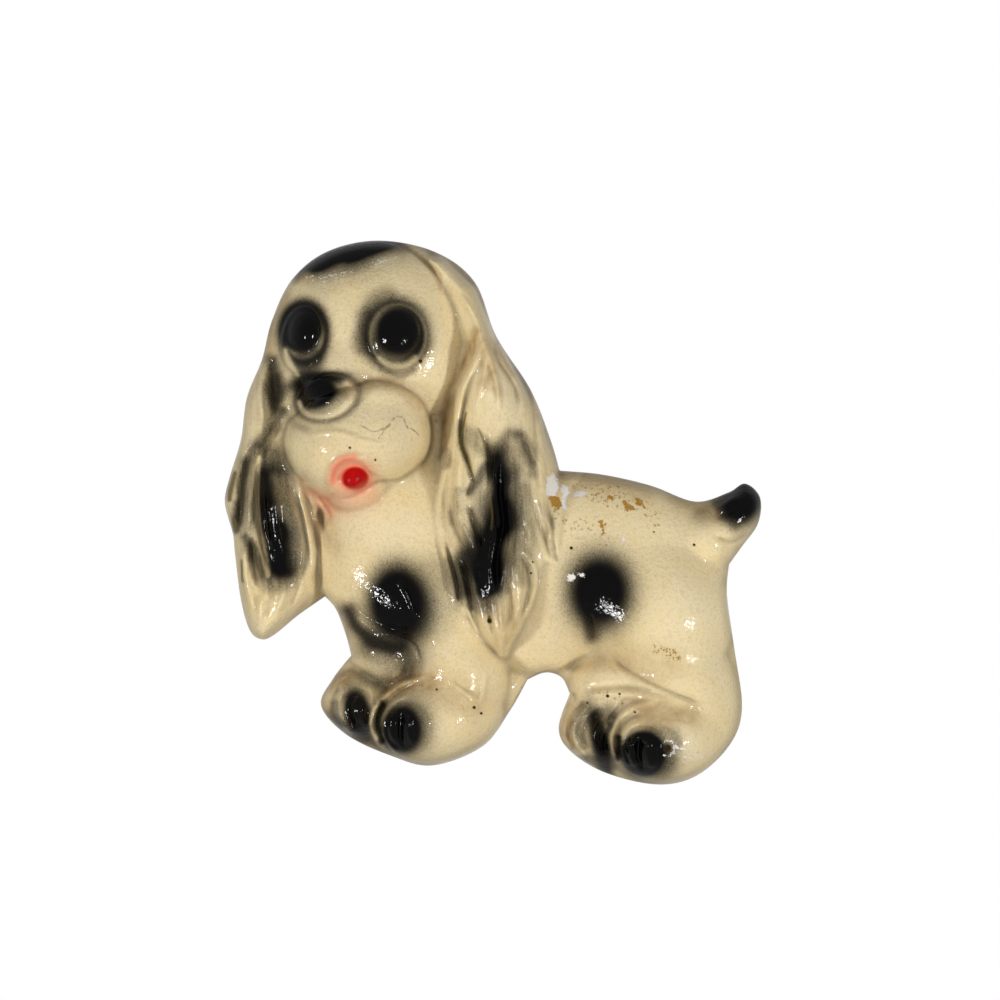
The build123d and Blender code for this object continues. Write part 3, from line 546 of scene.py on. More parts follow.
# The hanger's pocket in the back, in millimetres from the nail, as the CAD has it
POCKET_WIDTH = 18
POCKET_TOP, POCKET_FOOT = 5, -14
POCKET_DEPTH = 8
POCKET_CORNER = 4
POCKET_ROUNDING = 0.8
POCKET_FILLET = 1.2
CORNER_STEPS = 8
ROUNDING_TURNS = (0, 22, 45, 67, 90)   # degrees, at each of which the pocket's mouth or floor gets a ring
FILLET_TURNS = (0, 30, 60, 90)
# The stage, in metres from the nail, or from the middle of the picture for the lamps
LEFT_EDGE, RIGHT_EDGE, TOP_EDGE, FOOT_EDGE = 225, 761, 241, 784   # the figure's extremes in the drawing
PICTURE_MIDDLE = 500     # the middle of the picture, in the drawing, both ways
FLOOR_REACH = 0.35
KEY_SPREAD, KEY_DISTANCE, KEY_DROP, KEY_SIZE = 1.3, 1.15, 0.5, 0.26
SOFT_DISTANCE, SOFT_RISE, SOFT_SIZE = 1.5, 0.35, 0.6
NEAREST_SEEN, FARTHEST_SEEN = 0.05, 20
BACKDROP_START = 0.96    # how squarely a gloss has to look behind the object to show the white backdrop
PAPER_GLOW = 0.5         # how much paler the studio paper shows to the camera, where 1 is white


def linear(code):
    """The linear red, green and blue of an sRGB hex colour."""
    parts = [int(code[place:place + 2], 16) / 255 for place in (1, 3, 5)]
    return tuple(part / 12.92 if part <= 0.04045 else ((part + 0.055) / 1.055) ** 2.4 for part in parts)


def colour(name, description, code):
    """A colour that a user can change."""
    return bpy.props.FloatVectorProperty(
        name=name, description=description, subtype="COLOR", size=3, min=0, max=1, default=linear(code))


def length(name, description, default):
    """A length, in metres, that a user can change."""
    return bpy.props.FloatProperty(name=name, description=description, subtype="DISTANCE", unit="LENGTH",
                                   precision=4, min=0, default=default)


def plain(name, description, default, **limits):
    """A bare number that a user can change."""
    return bpy.props.FloatProperty(name=name, description=description, min=0, default=default, **limits)


class Drawing:
    """A level grid over the square drawing: across u, down v, and the height of the front at each point."""

    def __init__(self, low, high, pitch):
        self.low, self.pitch = low, pitch
        columns = [low[axis] + pitch * np.arange(int((high[axis] - low[axis]) / pitch) + 1)
                   for axis in (0, 1)]
        self.u, self.v = np.meshgrid(*columns)
        self.height = np.zeros(self.u.shape)

    def window(self, points, reach):
        """The part of the grid within reach of the points."""
        first = np.floor((points.min(0) - reach - self.low) / self.pitch).astype(int).clip(0)
        last = np.ceil((points.max(0) + reach - self.low) / self.pitch).astype(int).clip(0) + 1
        return slice(first[1], last[1]), slice(first[0], last[0])

    def beside(self, line, reach):
        """The window round a line, and how far off it each place there is, on which side and how far along."""
        window = self.window(line, reach)
        return window, *closest(self.u[window], self.v[window], line)[:3]

    def inside(self, outline, reach=2.0):
        """The window round a closed smooth outline, and how deep inside it each place there lies."""
        points = curve(outline, closed=True)
        window = self.window(points, reach)
        u, v = self.u[window], self.v[window]
        gap = closest(u, v, points, closed=True)[0]
        return window, np.where(enclosed(u, v, points), gap, -gap)

    def ellipse(self, centre, radii, tilt=0):
        """How far out each place is in a tilted ellipse, where 1 is its edge."""
        turn = math.radians(tilt)
        x, y = self.u - centre[0], self.v - centre[1]
        return np.hypot((x * math.cos(turn) + y * math.sin(turn)) / radii[0],
                        (y * math.cos(turn) - x * math.sin(turn)) / radii[1])

    def past_ellipse(self, centre, radii, tilt):
        """About how far outside a tilted ellipse each place is, in units of the drawing."""
        return (self.ellipse(centre, radii, tilt) - 1) * min(radii)

    def softened(self, field, reach):
        """The field blurred over that reach."""
        return soften(field, reach / self.pitch)

    def read(self, field, u, v):
        """A field's values at scattered points."""
        x = ((u - self.low[0]) / self.pitch).clip(0, field.shape[1] - 1.001)
        y = ((v - self.low[1]) / self.pitch).clip(0, field.shape[0] - 1.001)
        i, j = y.astype(int), x.astype(int)
        y, x = y - i, x - j
        upper = field[i, j] * (1 - x) + field[i, j + 1] * x
        lower = field[i + 1, j] * (1 - x) + field[i + 1, j + 1] * x
        return upper * (1 - y) + lower * y


def curve(points, closed=False, parts=STROKE_PARTS):
    """A smooth curve through the points."""
    points = np.array(points, float)
    around = [points[-1:], points, points[:2]] if closed else [points[:1], points, points[-1:]]
    around = np.vstack(around)
    steps = np.arange(parts)[:, None] / parts
    spans = []
    for before, start, end, after in zip(around, around[1:], around[2:], around[3:]):
        spans.append(0.5 * (
            2 * start + (end - before) * steps + (2 * before - 5 * start + 4 * end - after) * steps ** 2
            + (3 * start - before - 3 * end + after) * steps ** 3))
    return np.vstack(spans if closed else spans + [points[-1:]])


def closest(u, v, points, closed=False):
    """How far each place is from a line, on which side (left is positive), how far along, and the foot on it."""
    best = np.full(u.shape, np.inf)
    side, along, foot_u, foot_v = (np.zeros(u.shape) for _ in range(4))
    ends = np.vstack([points, points[:1]]) if closed else points
    strides = np.diff(ends, axis=0)
    lengths = np.hypot(*strides.T)
    starts = np.concatenate([[0], np.cumsum(lengths)])
    for start, stride, size, run in zip(ends, strides, lengths, starts):
        if size < NO_LENGTH:
            continue
        x, y = u - start[0], v - start[1]
        share = ((x * stride[0] + y * stride[1]) / size ** 2).clip(0, 1)
        gap = np.hypot(x - share * stride[0], y - share * stride[1])
        nearer = gap < best
        best = np.where(nearer, gap, best)
        side = np.where(nearer, np.sign(stride[1] * x - stride[0] * y), side)
        along = np.where(nearer, (run + share * size) / starts[-1], along)
        foot_u = np.where(nearer, start[0] + share * stride[0], foot_u)
        foot_v = np.where(nearer, start[1] + share * stride[1], foot_v)
    return best, side, along, foot_u, foot_v


def enclosed(u, v, points):
    """Whether each place is inside a closed line of points."""
    inside = np.zeros(u.shape, bool)
    for (u0, v0), (u1, v1) in zip(points, np.roll(points, -1, axis=0)):
        if v0 != v1:
            inside ^= ((v0 > v) != (v1 > v)) & (u < (u1 - u0) * (v - v0) / (v1 - v0) + u0)
    return inside


def ease(share):
    """Runs smoothly from 0 to 1."""
    share = np.clip(share, 0, 1)
    return share * share * (3 - 2 * share)


def rounded(share):
    """A quarter circle's height over a share of its radius."""
    return np.sqrt(1 - (1 - np.clip(share, 0, 1)) ** 2)


def bell(share, steepness=1):
    """A bell curve's height at that share of its width."""
    return np.exp(-steepness * share ** 2)


def soften(field, spread):
    """Blurs a field over that many steps of its grid."""
    reach = int(BELL_REACH * spread + 0.5)
    weights = bell(np.arange(-reach, reach + 1) / spread, 0.5)
    weights /= weights.sum()
    for _ in range(2):
        padded = np.pad(field, ((reach, reach), (0, 0)), mode="edge")
        field = sum(weight * padded[row:row + len(field)] for row, weight in enumerate(weights)).T
    return field


def ends_fade(along, ends):
    """Fades a line out at its ends, over the share of its length that each is given."""
    first, last = ends
    share = np.ones(along.shape)
    if first:
        share *= ease(along / first)
    if last:
        share *= ease((1 - along) / last)
    return share


def laid_over(height, out, low, rise, blend, drop=0):
    """The height with a dome laid over it, which flows into what is there already over the blend."""
    dome = np.where(out < 1, low + rise * np.sqrt((1 - out ** 2).clip(0)), low - FLANK_FALL * (out - 1)) - drop
    return np.maximum(height, dome) + (blend - abs(height - dome)).clip(0) ** 2 / (4 * blend)


def model_relief(drawing, hair_depth):
    """Builds the height of the whole front, in millimetres, from the masses down to the hair."""
    height = drawing.height
    for centre, radii, low, rise, tilt, blend in MASSES:
        height = laid_over(height, drawing.ellipse(centre, radii, tilt), low, rise, blend)
    for sections in EARS:
        down, *values = np.array(sections, float).T
        left, right, low, rise = (np.interp(drawing.v, down, value) for value in values)
        past_ends = (down[0] - drawing.v).clip(0) + (drawing.v - down[-1]).clip(0)
        out = abs(2 * drawing.u - left - right) / (right - left)
        height = laid_over(height, out, low, rise, EAR_BLEND, EAR_END_FALL * past_ends)
    height = drawing.softened(np.maximum(height, EDGE_THICKNESS), MASS_SOFTNESS)
    root = ease((drawing.v - EAR_ROOT_TOP) / (EAR_ROOT_FOOT - EAR_ROOT_TOP)).clip(EAR_ROOT_SHARE)
    for outline, rise, roll in SHEETS:
        window, depth = drawing.inside(outline)
        share = root[window] if outline is NEAR_EAR else 1
        height[window] += rise * share * rounded(depth / roll)
    height = drawing.softened(height, SHEET_SOFTNESS)
    for centre, radii, rise, tilt, fullness in DOMES:
        height += rise * (1 - drawing.ellipse(centre, radii, tilt) ** 2).clip(0) ** fullness
    for centre, radii, tilt, width, rise in RIMS:
        height += rise * bell(drawing.past_ellipse(centre, radii, tilt) / width)
    for points, lift, lift_reach, dip, dip_reach in EDGES:
        window, gap, side, along = drawing.beside(curve(points), BELL_REACH * max(lift_reach, dip_reach))
        change = np.where(side > 0, lift * bell(gap / lift_reach), -dip * bell(gap / dip_reach))
        height[window] += change * ends_fade(along, EDGE_ENDS) * (gap / EDGE_SOFTNESS).clip(0, 1)
    for points, width, rise, ends in LINES:
        window, gap, _, along = drawing.beside(curve(points), BELL_REACH * width)
        height[window] += hair_depth * rise * bell(gap / width) * ends_fade(along, ends)
    for centre, radius in PINHOLES:
        out = drawing.ellipse(centre, (radius, radius))
        height -= PINHOLE_DEPTH * (1 - (out / PINHOLE_FLARE) ** 2).clip(0)
    drawing.height = height


def spray(drawing, spots, strokes):
    """How much paint the airbrush leaves, from 0 to 1: solid in the middle, then fading as a bell curve does."""
    bare = np.ones(drawing.u.shape)
    for centre, radii, tilt, fade, strength in spots:
        gap = drawing.past_ellipse(centre, radii, tilt)
        bare *= 1 - strength * bell(gap.clip(0) / fade, SPRAY_FALL)
    for points, fade, strength in strokes:
        line = curve(points)
        run = np.append(0, np.cumsum(np.hypot(*np.diff(line[:, :2], axis=0).T)))
        window, gap, _, along = drawing.beside(line[:, :2], line[:, 2].max() + 2 * fade)
        gap = gap - np.interp(along * run[-1], run, line[:, 2])
        bare[window] *= 1 - strength * bell(gap.clip(0) / fade, SPRAY_FALL)
    return 1 - bare


def rings(drawing, table):
    """Rings of spray, each with its own fade inwards and outwards."""
    bare = np.ones(drawing.u.shape)
    for centre, radii, tilt, inwards, outwards, strength in table:
        gap = drawing.past_ellipse(centre, radii, tilt)
        bare *= 1 - strength * bell(gap / np.where(gap < 0, inwards, outwards), SPRAY_FALL)
    return 1 - bare


def patches(drawing, outlines, softness=WEAR_SOFTNESS):
    """Worn or painted patches: 0.5 on their outlines, 1 well inside and 0 well outside."""
    field = np.zeros(drawing.u.shape)
    for outline in outlines:
        window, depth = drawing.inside(outline, softness)
        field[window] = np.maximum(field[window], (0.5 + depth / (2 * softness)).clip(0, 1))
    return field


def wavering(drawing):
    """The same drawing with its places shifted a little in slow waves, so that nothing sprayed looks ruled."""
    shifted = Drawing(drawing.low, drawing.low + 1, drawing.pitch)
    chance = np.random.default_rng(WAVER_SEED)
    waves = [drawing.softened(chance.standard_normal(drawing.u.shape), WAVER_LENGTH) for _ in range(2)]
    shifted.u, shifted.v = (place + WAVER_REACH * wave / wave.std()
                            for place, wave in zip((drawing.u, drawing.v), waves))
    return shifted


def paint_fields(drawing):
    """The paint, the wear and the shade painted into the hollows over the drawing, one field for each colour."""
    loose = wavering(drawing)
    bare = 1 - spray(drawing, BLACK_SPOTS, ())
    bare = bare * (1 - spray(loose, (), BLACK_STROKES)) * (1 - rings(drawing, BLACK_RINGS))
    black = np.maximum(1 - bare ** COVERAGE, patches(loose, [CAP], CAP_SOFTNESS))
    black *= (1 - rings(drawing, WIPED_RINGS)) * (1 - spray(drawing, (), WIPED_STROKES))
    mist = MIST_STRENGTH * drawing.softened(black, MIST_REACH)
    holes, hair = np.zeros((2, *black.shape))
    for centre, radius in PINHOLES:
        holes = np.maximum(holes, 1 - drawing.ellipse(centre, (radius, radius)) / HOLE_SHADE)
    for outline in (NEAR_EAR, FAR_EAR):
        window, depth = drawing.inside(outline)
        hair[window] = np.maximum(hair[window], ease(depth / HAIR_FADE))
    # Painted shade, with some dirt: darker where a place lies below its softened surroundings, the deeper the
    # darker
    hollow = sum(strength * (drawing.softened(drawing.height, reach) - drawing.height).clip(0)
                 for reach, strength in HOLLOWS)
    return {
        "black_spray": 1 - (1 - black) * (1 - mist),
        "ochre_spray": spray(loose, (), OCHRE_STROKES),
        "red_spray": spray(drawing, RED_SPOTS, RED_STROKES),
        "olive_stain": spray(drawing, (), OLIVE_STROKES),
        "white_flake": np.maximum(patches(drawing, FLAKES), spray(drawing, (), FLAKE_STROKES)),
        "ochre_chip": np.maximum(patches(drawing, CHIPS), spray(drawing, (), CHIP_STROKES)),
        "pinhole": holes,
        "crack": spray(drawing, (), CRACKS),
        "hair": hair,
        "painted_shade_and_dust": hollow.clip(0, 1),
    }


def outline_points():
    """The whole outline, closed."""
    return np.vstack([curve(run, parts=OUTLINE_PARTS)[:-1] for run in OUTLINE_RUNS])


def trimmed_grid(outline, pitch):
    """A level grid cut to the outline: its places and how deep inside, the feet on it, and the faces."""
    drawing = Drawing(outline.min(0) - 2 * pitch, outline.max(0) + 2 * pitch, pitch)
    gap, _, _, foot_u, foot_v = closest(drawing.u, drawing.v, outline, closed=True)
    depth = np.where(enclosed(drawing.u, drawing.v, outline), gap, -gap)
    snapped = gap < SNAP_SHARE * pitch
    depth[snapped] = 0
    kept = depth >= 0
    places, numbers, faces = [], {}, []

    def numbered(key, place):
        if key not in numbers:
            numbers[key] = len(places)
            places.append(place)
        return numbers[key]

    def corner(i, j):
        if snapped[i, j]:
            return numbered((i, j), (foot_u[i, j], foot_v[i, j], 0))
        return numbered((i, j), (drawing.u[i, j], drawing.v[i, j], depth[i, j]))

    def crossing(start, end):
        share = depth[start] / (depth[start] - depth[end])
        return numbered((min(start, end), max(start, end)), (
            drawing.u[start] + share * (drawing.u[end] - drawing.u[start]),
            drawing.v[start] + share * (drawing.v[end] - drawing.v[start]), 0))

    corners_kept = kept[:-1, :-1].astype(int) + kept[:-1, 1:] + kept[1:, 1:] + kept[1:, :-1]
    for i, j in zip(*np.nonzero(corners_kept)):
        ring = ((i, j), (i + 1, j), (i + 1, j + 1), (i, j + 1))
        face = []
        for start, end in zip(ring, ring[1:] + ring[:1]):
            if kept[start]:
                face.append(corner(*start))
            if kept[start] != kept[end] and not snapped[start] and not snapped[end]:
                face.append(crossing(start, end))
        if len(face) > 2 and any(places[number][2] > 0 for number in face):
            faces.append(face)
    places = np.array(places)
    gap, _, _, foot_u, foot_v = closest(places[:, 0], places[:, 1], outline, closed=True)
    on_outline = places[:, 2] == 0
    places[on_outline, 0], places[on_outline, 1] = foot_u[on_outline], foot_v[on_outline]
    return places, np.column_stack([foot_u, foot_v]), faces


def roll_to_edge(places, feet, roll):
    """Crowds the places near the outline towards it, so that the rolled edge gets even steps."""
    depth = places[:, 2]
    near = (depth > 0) & (depth < roll)
    angle = (depth / roll).clip(0, 1) * math.pi / 2
    share = np.ones(len(places))
    share[near] = roll * (1 - np.cos(angle[near])) / depth[near]
    flat = feet + (places[:, :2] - feet) * share[:, None]
    flat[~near] = places[~near, :2]
    return flat, depth.clip(0, roll) / roll


def plain_mesh(name, points, faces):
    """A new mesh of points and faces, with its normals not yet looked at."""
    mesh = bpy.data.meshes.new(name)
    mesh.from_pydata([tuple(point) for point in points], [], faces)
    return mesh


def linked(name, data):
    """A new object for a mesh, a lamp or a camera, in the scene."""
    piece = bpy.data.objects.new(name, data)
    bpy.context.scene.collection.objects.link(piece)
    return piece


def add(tree, kind, inputs=None, output=0, **settings):
    """Adds a node with its settings, gives its inputs values or links, and gives back the output asked for."""
    node = tree.nodes.new(kind)
    for name, value in settings.items():
        setattr(node, name, value)
    for name, value in (inputs or {}).items():
        if isinstance(value, bpy.types.NodeSocket):
            tree.links.new(value, node.inputs[name])
        else:
            node.inputs[name].default_value = value
    return node.outputs[output] if node.outputs else None


def blank(kind, name):
    """A new material or world, and its node tree with nothing in it."""
    made = kind.new(name)
    made.use_nodes = True
    made.node_tree.nodes.clear()
    return made, made.node_tree


def coated(tree, base, coats):
    """Lays coats over a base: what each follows, where it starts and is whole, its strength, its colour."""
    paint = (*base, 1)
    for follows, low, high, strength, coat in coats:
        share = add(tree, "ShaderNodeMapRange", {
            "Value": follows, "From Min": low, "From Max": high, "To Max": strength})
        paint = add(tree, "ShaderNodeMix", {0: share, 6: paint, 7: (*coat, 1)}, 2, data_type="RGBA")
    return paint


def relief_tree(material):
    """Geometry Nodes that raise a flat casting to its relief and roll its edge over to the wall."""
    tree = bpy.data.node_groups.new("raise_relief", "GeometryNodeTree")
    sockets = {name: tree.interface.new_socket(name, in_out="INPUT", socket_type=kind) for name, kind in (
        ("Geometry", "NodeSocketGeometry"), ("Relief depth", "NodeSocketFloat"),
        ("Hand-made unevenness", "NodeSocketFloat"), ("Unevenness size", "NodeSocketFloat"))}
    tree.interface.new_socket("Geometry", in_out="OUTPUT", socket_type="NodeSocketGeometry")
    given = add(tree, "NodeGroupInput", output="Geometry").node.outputs
    relief, edge = (
        add(tree, "GeometryNodeInputNamedAttribute", {"Name": name}, "Attribute", data_type="FLOAT")
        for name in ("relief", "edge_share"))
    frequency = add(tree, "ShaderNodeMath", {0: 1, 1: given["Unevenness size"]}, operation="DIVIDE")
    waves = add(tree, "ShaderNodeTexNoise", {"Scale": frequency, "Detail": 2})
    dip = add(tree, "ShaderNodeMath", {0: waves, 1: given["Hand-made unevenness"]}, operation="MULTIPLY")
    full = add(tree, "ShaderNodeMath", {0: relief, 1: given["Relief depth"]}, operation="MULTIPLY")
    uneven = add(tree, "ShaderNodeMath", {0: dip, 1: full}, operation="SUBTRACT")
    angle = add(tree, "ShaderNodeMath", {0: edge, 1: math.pi / 2}, operation="MULTIPLY")
    roll = add(tree, "ShaderNodeMath", {0: angle}, operation="SINE")
    outwards = add(tree, "ShaderNodeMath", {0: uneven, 1: roll}, operation="MULTIPLY")
    offset = add(tree, "ShaderNodeCombineXYZ", {"Y": outwards})
    raised = add(tree, "GeometryNodeSetPosition", {"Geometry": given["Geometry"], "Offset": offset})
    real = add(tree, "GeometryNodeRealizeInstances", {"Geometry": raised})
    finished = add(tree, "GeometryNodeSetMaterial", {"Geometry": real, "Material": material})
    add(tree, "NodeGroupOutput", {"Geometry": finished})
    return tree, {name: socket.identifier for name, socket in sockets.items()}


def evaluated_copy(piece, name):
    """The piece's mesh with its modifiers applied."""
    graph = bpy.context.evaluated_depsgraph_get()
    mesh = bpy.data.meshes.new_from_object(
        piece.evaluated_get(graph), depsgraph=graph, preserve_all_data_layers=True)
    mesh.name = name
    return mesh


def pocket_ring(grow, depth):
    """One ring round the hanger's pocket, grown by so much from its wall and so deep into the back."""
    middle = (POCKET_TOP + POCKET_FOOT) / 2
    half_width, half_height = POCKET_WIDTH / 2 + grow, (POCKET_TOP - POCKET_FOOT) / 2 + grow
    radius = POCKET_CORNER + grow
    ring = []
    for corner, (right, up) in enumerate(((1, 1), (-1, 1), (-1, -1), (1, -1))):
        for step in range(CORNER_STEPS + 1):
            angle = math.pi / 2 * (corner + step / CORNER_STEPS)
            ring.append((MM * (right * (half_width - radius) + radius * math.cos(angle)), -MM * depth,
                         MM * (middle + up * (half_height - radius) + radius * math.sin(angle))))
    return ring


def close_back(form):
    """Closes the casting's back flat on the wall plane, with the hanger's pocket sunk in it."""
    rim = [edge for edge in form.edges if edge.is_boundary]
    rings = [pocket_ring(POCKET_ROUNDING * (1 - math.sin(turn)), POCKET_ROUNDING * (1 - math.cos(turn)))
             for turn in map(math.radians, ROUNDING_TURNS)]
    rings += [pocket_ring(-POCKET_FILLET * (1 - math.cos(turn)),
                          POCKET_DEPTH - POCKET_FILLET * (1 - math.sin(turn)))
              for turn in map(math.radians, FILLET_TURNS)]
    made = [[form.verts.new(point) for point in ring] for ring in rings]
    for outer, inner in zip(made, made[1:]):
        for place, corner in enumerate(outer):
            following = (place + 1) % len(outer)
            face = form.faces.new((corner, outer[following], inner[following], inner[place]))
            face.smooth, face.material_index = True, 1
    form.faces.new(made[-1]).material_index = 1
    mouth = [form.edges.get(ends) for ends in zip(made[0], made[0][1:] + made[0][:1])]
    filled = bmesh.ops.triangle_fill(
        form, edges=rim + mouth, use_beauty=True, use_dissolve=False, normal=(0, 1, 0))
    for face in filled["geom"]:
        if isinstance(face, bmesh.types.BMFace):
            face.material_index, face.smooth = 1, False
    for edge in rim:
        edge.smooth = False
    bmesh.ops.recalc_face_normals(form, faces=form.faces)
    if form.calc_volume(signed=True) < 0:
        bmesh.ops.reverse_faces(form, faces=form.faces)


def build_casting(settings):
    """Models the flat casting: its grid, with the relief, the paint and the wear as attributes."""
    outline = outline_points()
    drawing = Drawing(outline.min(0) - DRAWING_MARGIN, outline.max(0) + DRAWING_MARGIN, SCULPTING_PITCH)
    model_relief(drawing, settings.hair_depth)
    fields = paint_fields(drawing)
    low, high = outline.min(0), outline.max(0)
    metres_per_unit = (figure_high.x - figure_low.x) / (high[0] - low[0])
    places, feet, faces = trimmed_grid(outline, settings.mesh_pitch / metres_per_unit)
    flat, edge_share = roll_to_edge(places, feet, settings.edge_roll / metres_per_unit)
    x = figure_low.x + (flat[:, 0] - low[0]) / (high[0] - low[0]) * (figure_high.x - figure_low.x)
    z = figure_high.z - (flat[:, 1] - low[1]) / (high[1] - low[1]) * (figure_high.z - figure_low.z)
    mesh = plain_mesh("painted_casting_flat", np.column_stack([x, np.zeros(len(x)), z]), faces)
    heights = drawing.read(drawing.height, *flat.T)
    values = {"relief": heights / drawing.height.max(), "edge_share": edge_share}
    values.update({name: drawing.read(field, *flat.T) for name, field in fields.items()})
    for name, numbers in values.items():
        mesh.attributes.new(name, "FLOAT", "POINT").data.foreach_set("value", numbers.astype(np.float32))
    return mesh


def varnished_paint(settings):
    """Cream lacquer on plaster of Paris, airbrushed in black, ochre and red, and varnished.

    The airbrush spatters, so its edges break into grains of about 0.4 mm, drawn at 0.5 mm to show. The varnish
    lies pebbled over all of it and gives the small sharp lights. Where the paint has flaked, dull plaster shows.
    """
    material, tree = blank(bpy.data.materials, "varnished_paint_on_chalkware")
    place = add(tree, "ShaderNodeTexCoord", output="Object")
    along_hair = add(tree, "ShaderNodeMapping", {"Vector": place, "Scale": (1, 1, HAIR_STRETCH)})
    waves = {}
    # Each noise: its name, what it follows, its size in mm, its detail and its roughness
    for name, where, size, detail, roughness in (
            ("grain", place, 0.5, 1, 0.6), ("pebble", place, 1.3, 2, 0.5), ("ragged", place, 1.3, 4, 0.7),
            ("mottle", place, 3.5, 3, 0.5), ("patch", place, 24, 3, 0.5),
            ("strand", along_hair, 1.5, 3, 0.55), ("flow", place, 3, 2, 0.5)):
        waves[name] = add(tree, "ShaderNodeTexNoise", {
            "Vector": where, "Scale": 1 / (size * MM), "Detail": detail, "Roughness": roughness})
    fields = {name: add(tree, "ShaderNodeAttribute", output="Fac", attribute_name=name) for name in (
        "black_spray", "ochre_spray", "red_spray", "olive_stain", "white_flake", "ochre_chip", "pinhole",
        "crack", "hair", "painted_shade_and_dust")}

    # Worn places have torn edges, and thin strokes of wear break up into specks
    tear = add(tree, "ShaderNodeMapRange", {"Value": waves["ragged"], "To Min": -0.85, "To Max": 0.85})
    worn = {"pinhole": add(tree, "ShaderNodeMapRange", {
        "Value": fields["pinhole"], "From Min": 0.35, "From Max": 0.55})}
    for name, low, high, torn_by in (
            ("white_flake", 0.5, 0.56, 1), ("ochre_chip", 0.5, 0.56, 1), ("crack", 0.66, 0.86, 0.5)):
        torn = add(tree, "ShaderNodeMath", {0: tear, 1: torn_by, 2: fields[name]}, operation="MULTIPLY_ADD")
        worn[name] = add(tree, "ShaderNodeMapRange", {"Value": torn, "From Min": low, "From Max": high},
                         interpolation_type="SMOOTHSTEP")

    # The black's edges break up into spatter, and on the ears into streaks along the hair
    spatter = add(tree, "ShaderNodeMapRange", {
        "Value": waves["grain"], "To Min": -2 * settings.spatter, "To Max": 2 * settings.spatter})
    streaks = add(tree, "ShaderNodeMapRange", {"Value": waves["strand"], "To Min": -0.8, "To Max": 0.8})
    unsprayed = add(tree, "ShaderNodeMath", {0: 1, 1: fields["black_spray"]}, operation="SUBTRACT")
    edge = add(tree, "ShaderNodeMath", {0: fields["black_spray"], 1: unsprayed}, operation="MULTIPLY")
    rough = add(tree, "ShaderNodeMath", {0: streaks, 1: fields["hair"], 2: spatter}, operation="MULTIPLY_ADD")
    black_share = add(tree, "ShaderNodeMath", {0: rough, 1: edge, 2: fields["black_spray"]},
                      operation="MULTIPLY_ADD", use_clamp=True)
    red_share = add(tree, "ShaderNodeMath", {0: spatter, 1: 0.05, 2: fields["red_spray"]},
                    operation="MULTIPLY_ADD")
    ochre_share = add(tree, "ShaderNodeMath", {0: fields["ochre_spray"], 1: waves["mottle"]},
                      operation="MULTIPLY")
    hair_lines = add(tree, "ShaderNodeMath", {0: fields["hair"], 1: waves["strand"]}, operation="MULTIPLY")

    paint = coated(tree, settings.cream, (
        (waves["patch"], 0.35, 0.7, 1, settings.aged_cream),
        (waves["mottle"], 0.4, 0.75, 0.25, settings.pale_cream),
        (waves["pebble"], 0.5, 0.75, 0.22, settings.speckle),
        (waves["grain"], 0.58, 0.78, 0.38, settings.speckle),
        (ochre_share, 0, 0.62, 0.9, settings.ochre),
        (hair_lines, 0.48, 0.8, 0.18, settings.ochre),
        # painted shade and dirt, darkening the relief's hollows
        (fields["painted_shade_and_dust"], 0, 1, 0.6, settings.painted_shade_and_dust),
        (red_share, 0.02, 0.7, 1, settings.red_mist),
        (red_share, 0.62, 0.9, 1, settings.red),
        (black_share, 0, 1, 1, settings.black),
        (fields["olive_stain"], 0.2, 0.7, 0.9, settings.olive),
        (worn["white_flake"], 0, 1, 1, settings.plaster),
        (worn["ochre_chip"], 0, 1, 1, settings.chip),
        (worn["crack"], 0, 1, 0.48, settings.dirt_and_hole_shade),
        # painted shade and dirt in the pinholes
        (worn["pinhole"], 0, 1, 1, settings.dirt_and_hole_shade)))

    flaked = add(tree, "ShaderNodeMath", {0: worn["white_flake"], 1: worn["ochre_chip"]}, operation="MAXIMUM")
    bare = add(tree, "ShaderNodeMath", {0: flaked, 1: worn["pinhole"]}, operation="MAXIMUM")
    under = {}
    # Each bump over the last: what it follows, its strength, and its height in mm, negative for a dent
    for height, strength, depth in (
            (hair_lines, 0.7, 0.35), (waves["pebble"], 1, 0.3), (waves["grain"], 0.7, 0.05),
            (flaked, 0.8, -0.12), (worn["crack"], 0.8, -0.15)):
        bumped = add(tree, "ShaderNodeBump", {
            "Strength": strength, "Distance": abs(depth) * MM, "Height": height, **under}, invert=depth < 0)
        under = {"Normal": bumped}
    runs = add(tree, "ShaderNodeBump", {"Strength": 0.7, "Distance": 0.28 * MM, "Height": waves["flow"]})
    gloss_normal = add(tree, "ShaderNodeBump", {
        "Strength": 0.9, "Distance": 0.12 * MM, "Height": waves["pebble"], "Normal": runs})
    shader = add(tree, "ShaderNodeBsdfPrincipled", {
        "Base Color": paint,
        "Roughness": add(tree, "ShaderNodeMapRange", {"Value": bare, "To Min": 0.45, "To Max": 0.85}),
        "Specular IOR Level": 0,
        "Coat Weight": add(tree, "ShaderNodeMapRange", {
            "Value": bare, "To Min": settings.varnish, "To Max": 0}),
        "Coat Roughness": 0.09,
        "Coat IOR": 1.42,
        "Normal": bumped,
        "Coat Normal": gloss_normal,
    })
    add(tree, "ShaderNodeOutputMaterial", {"Surface": shader})
    return material


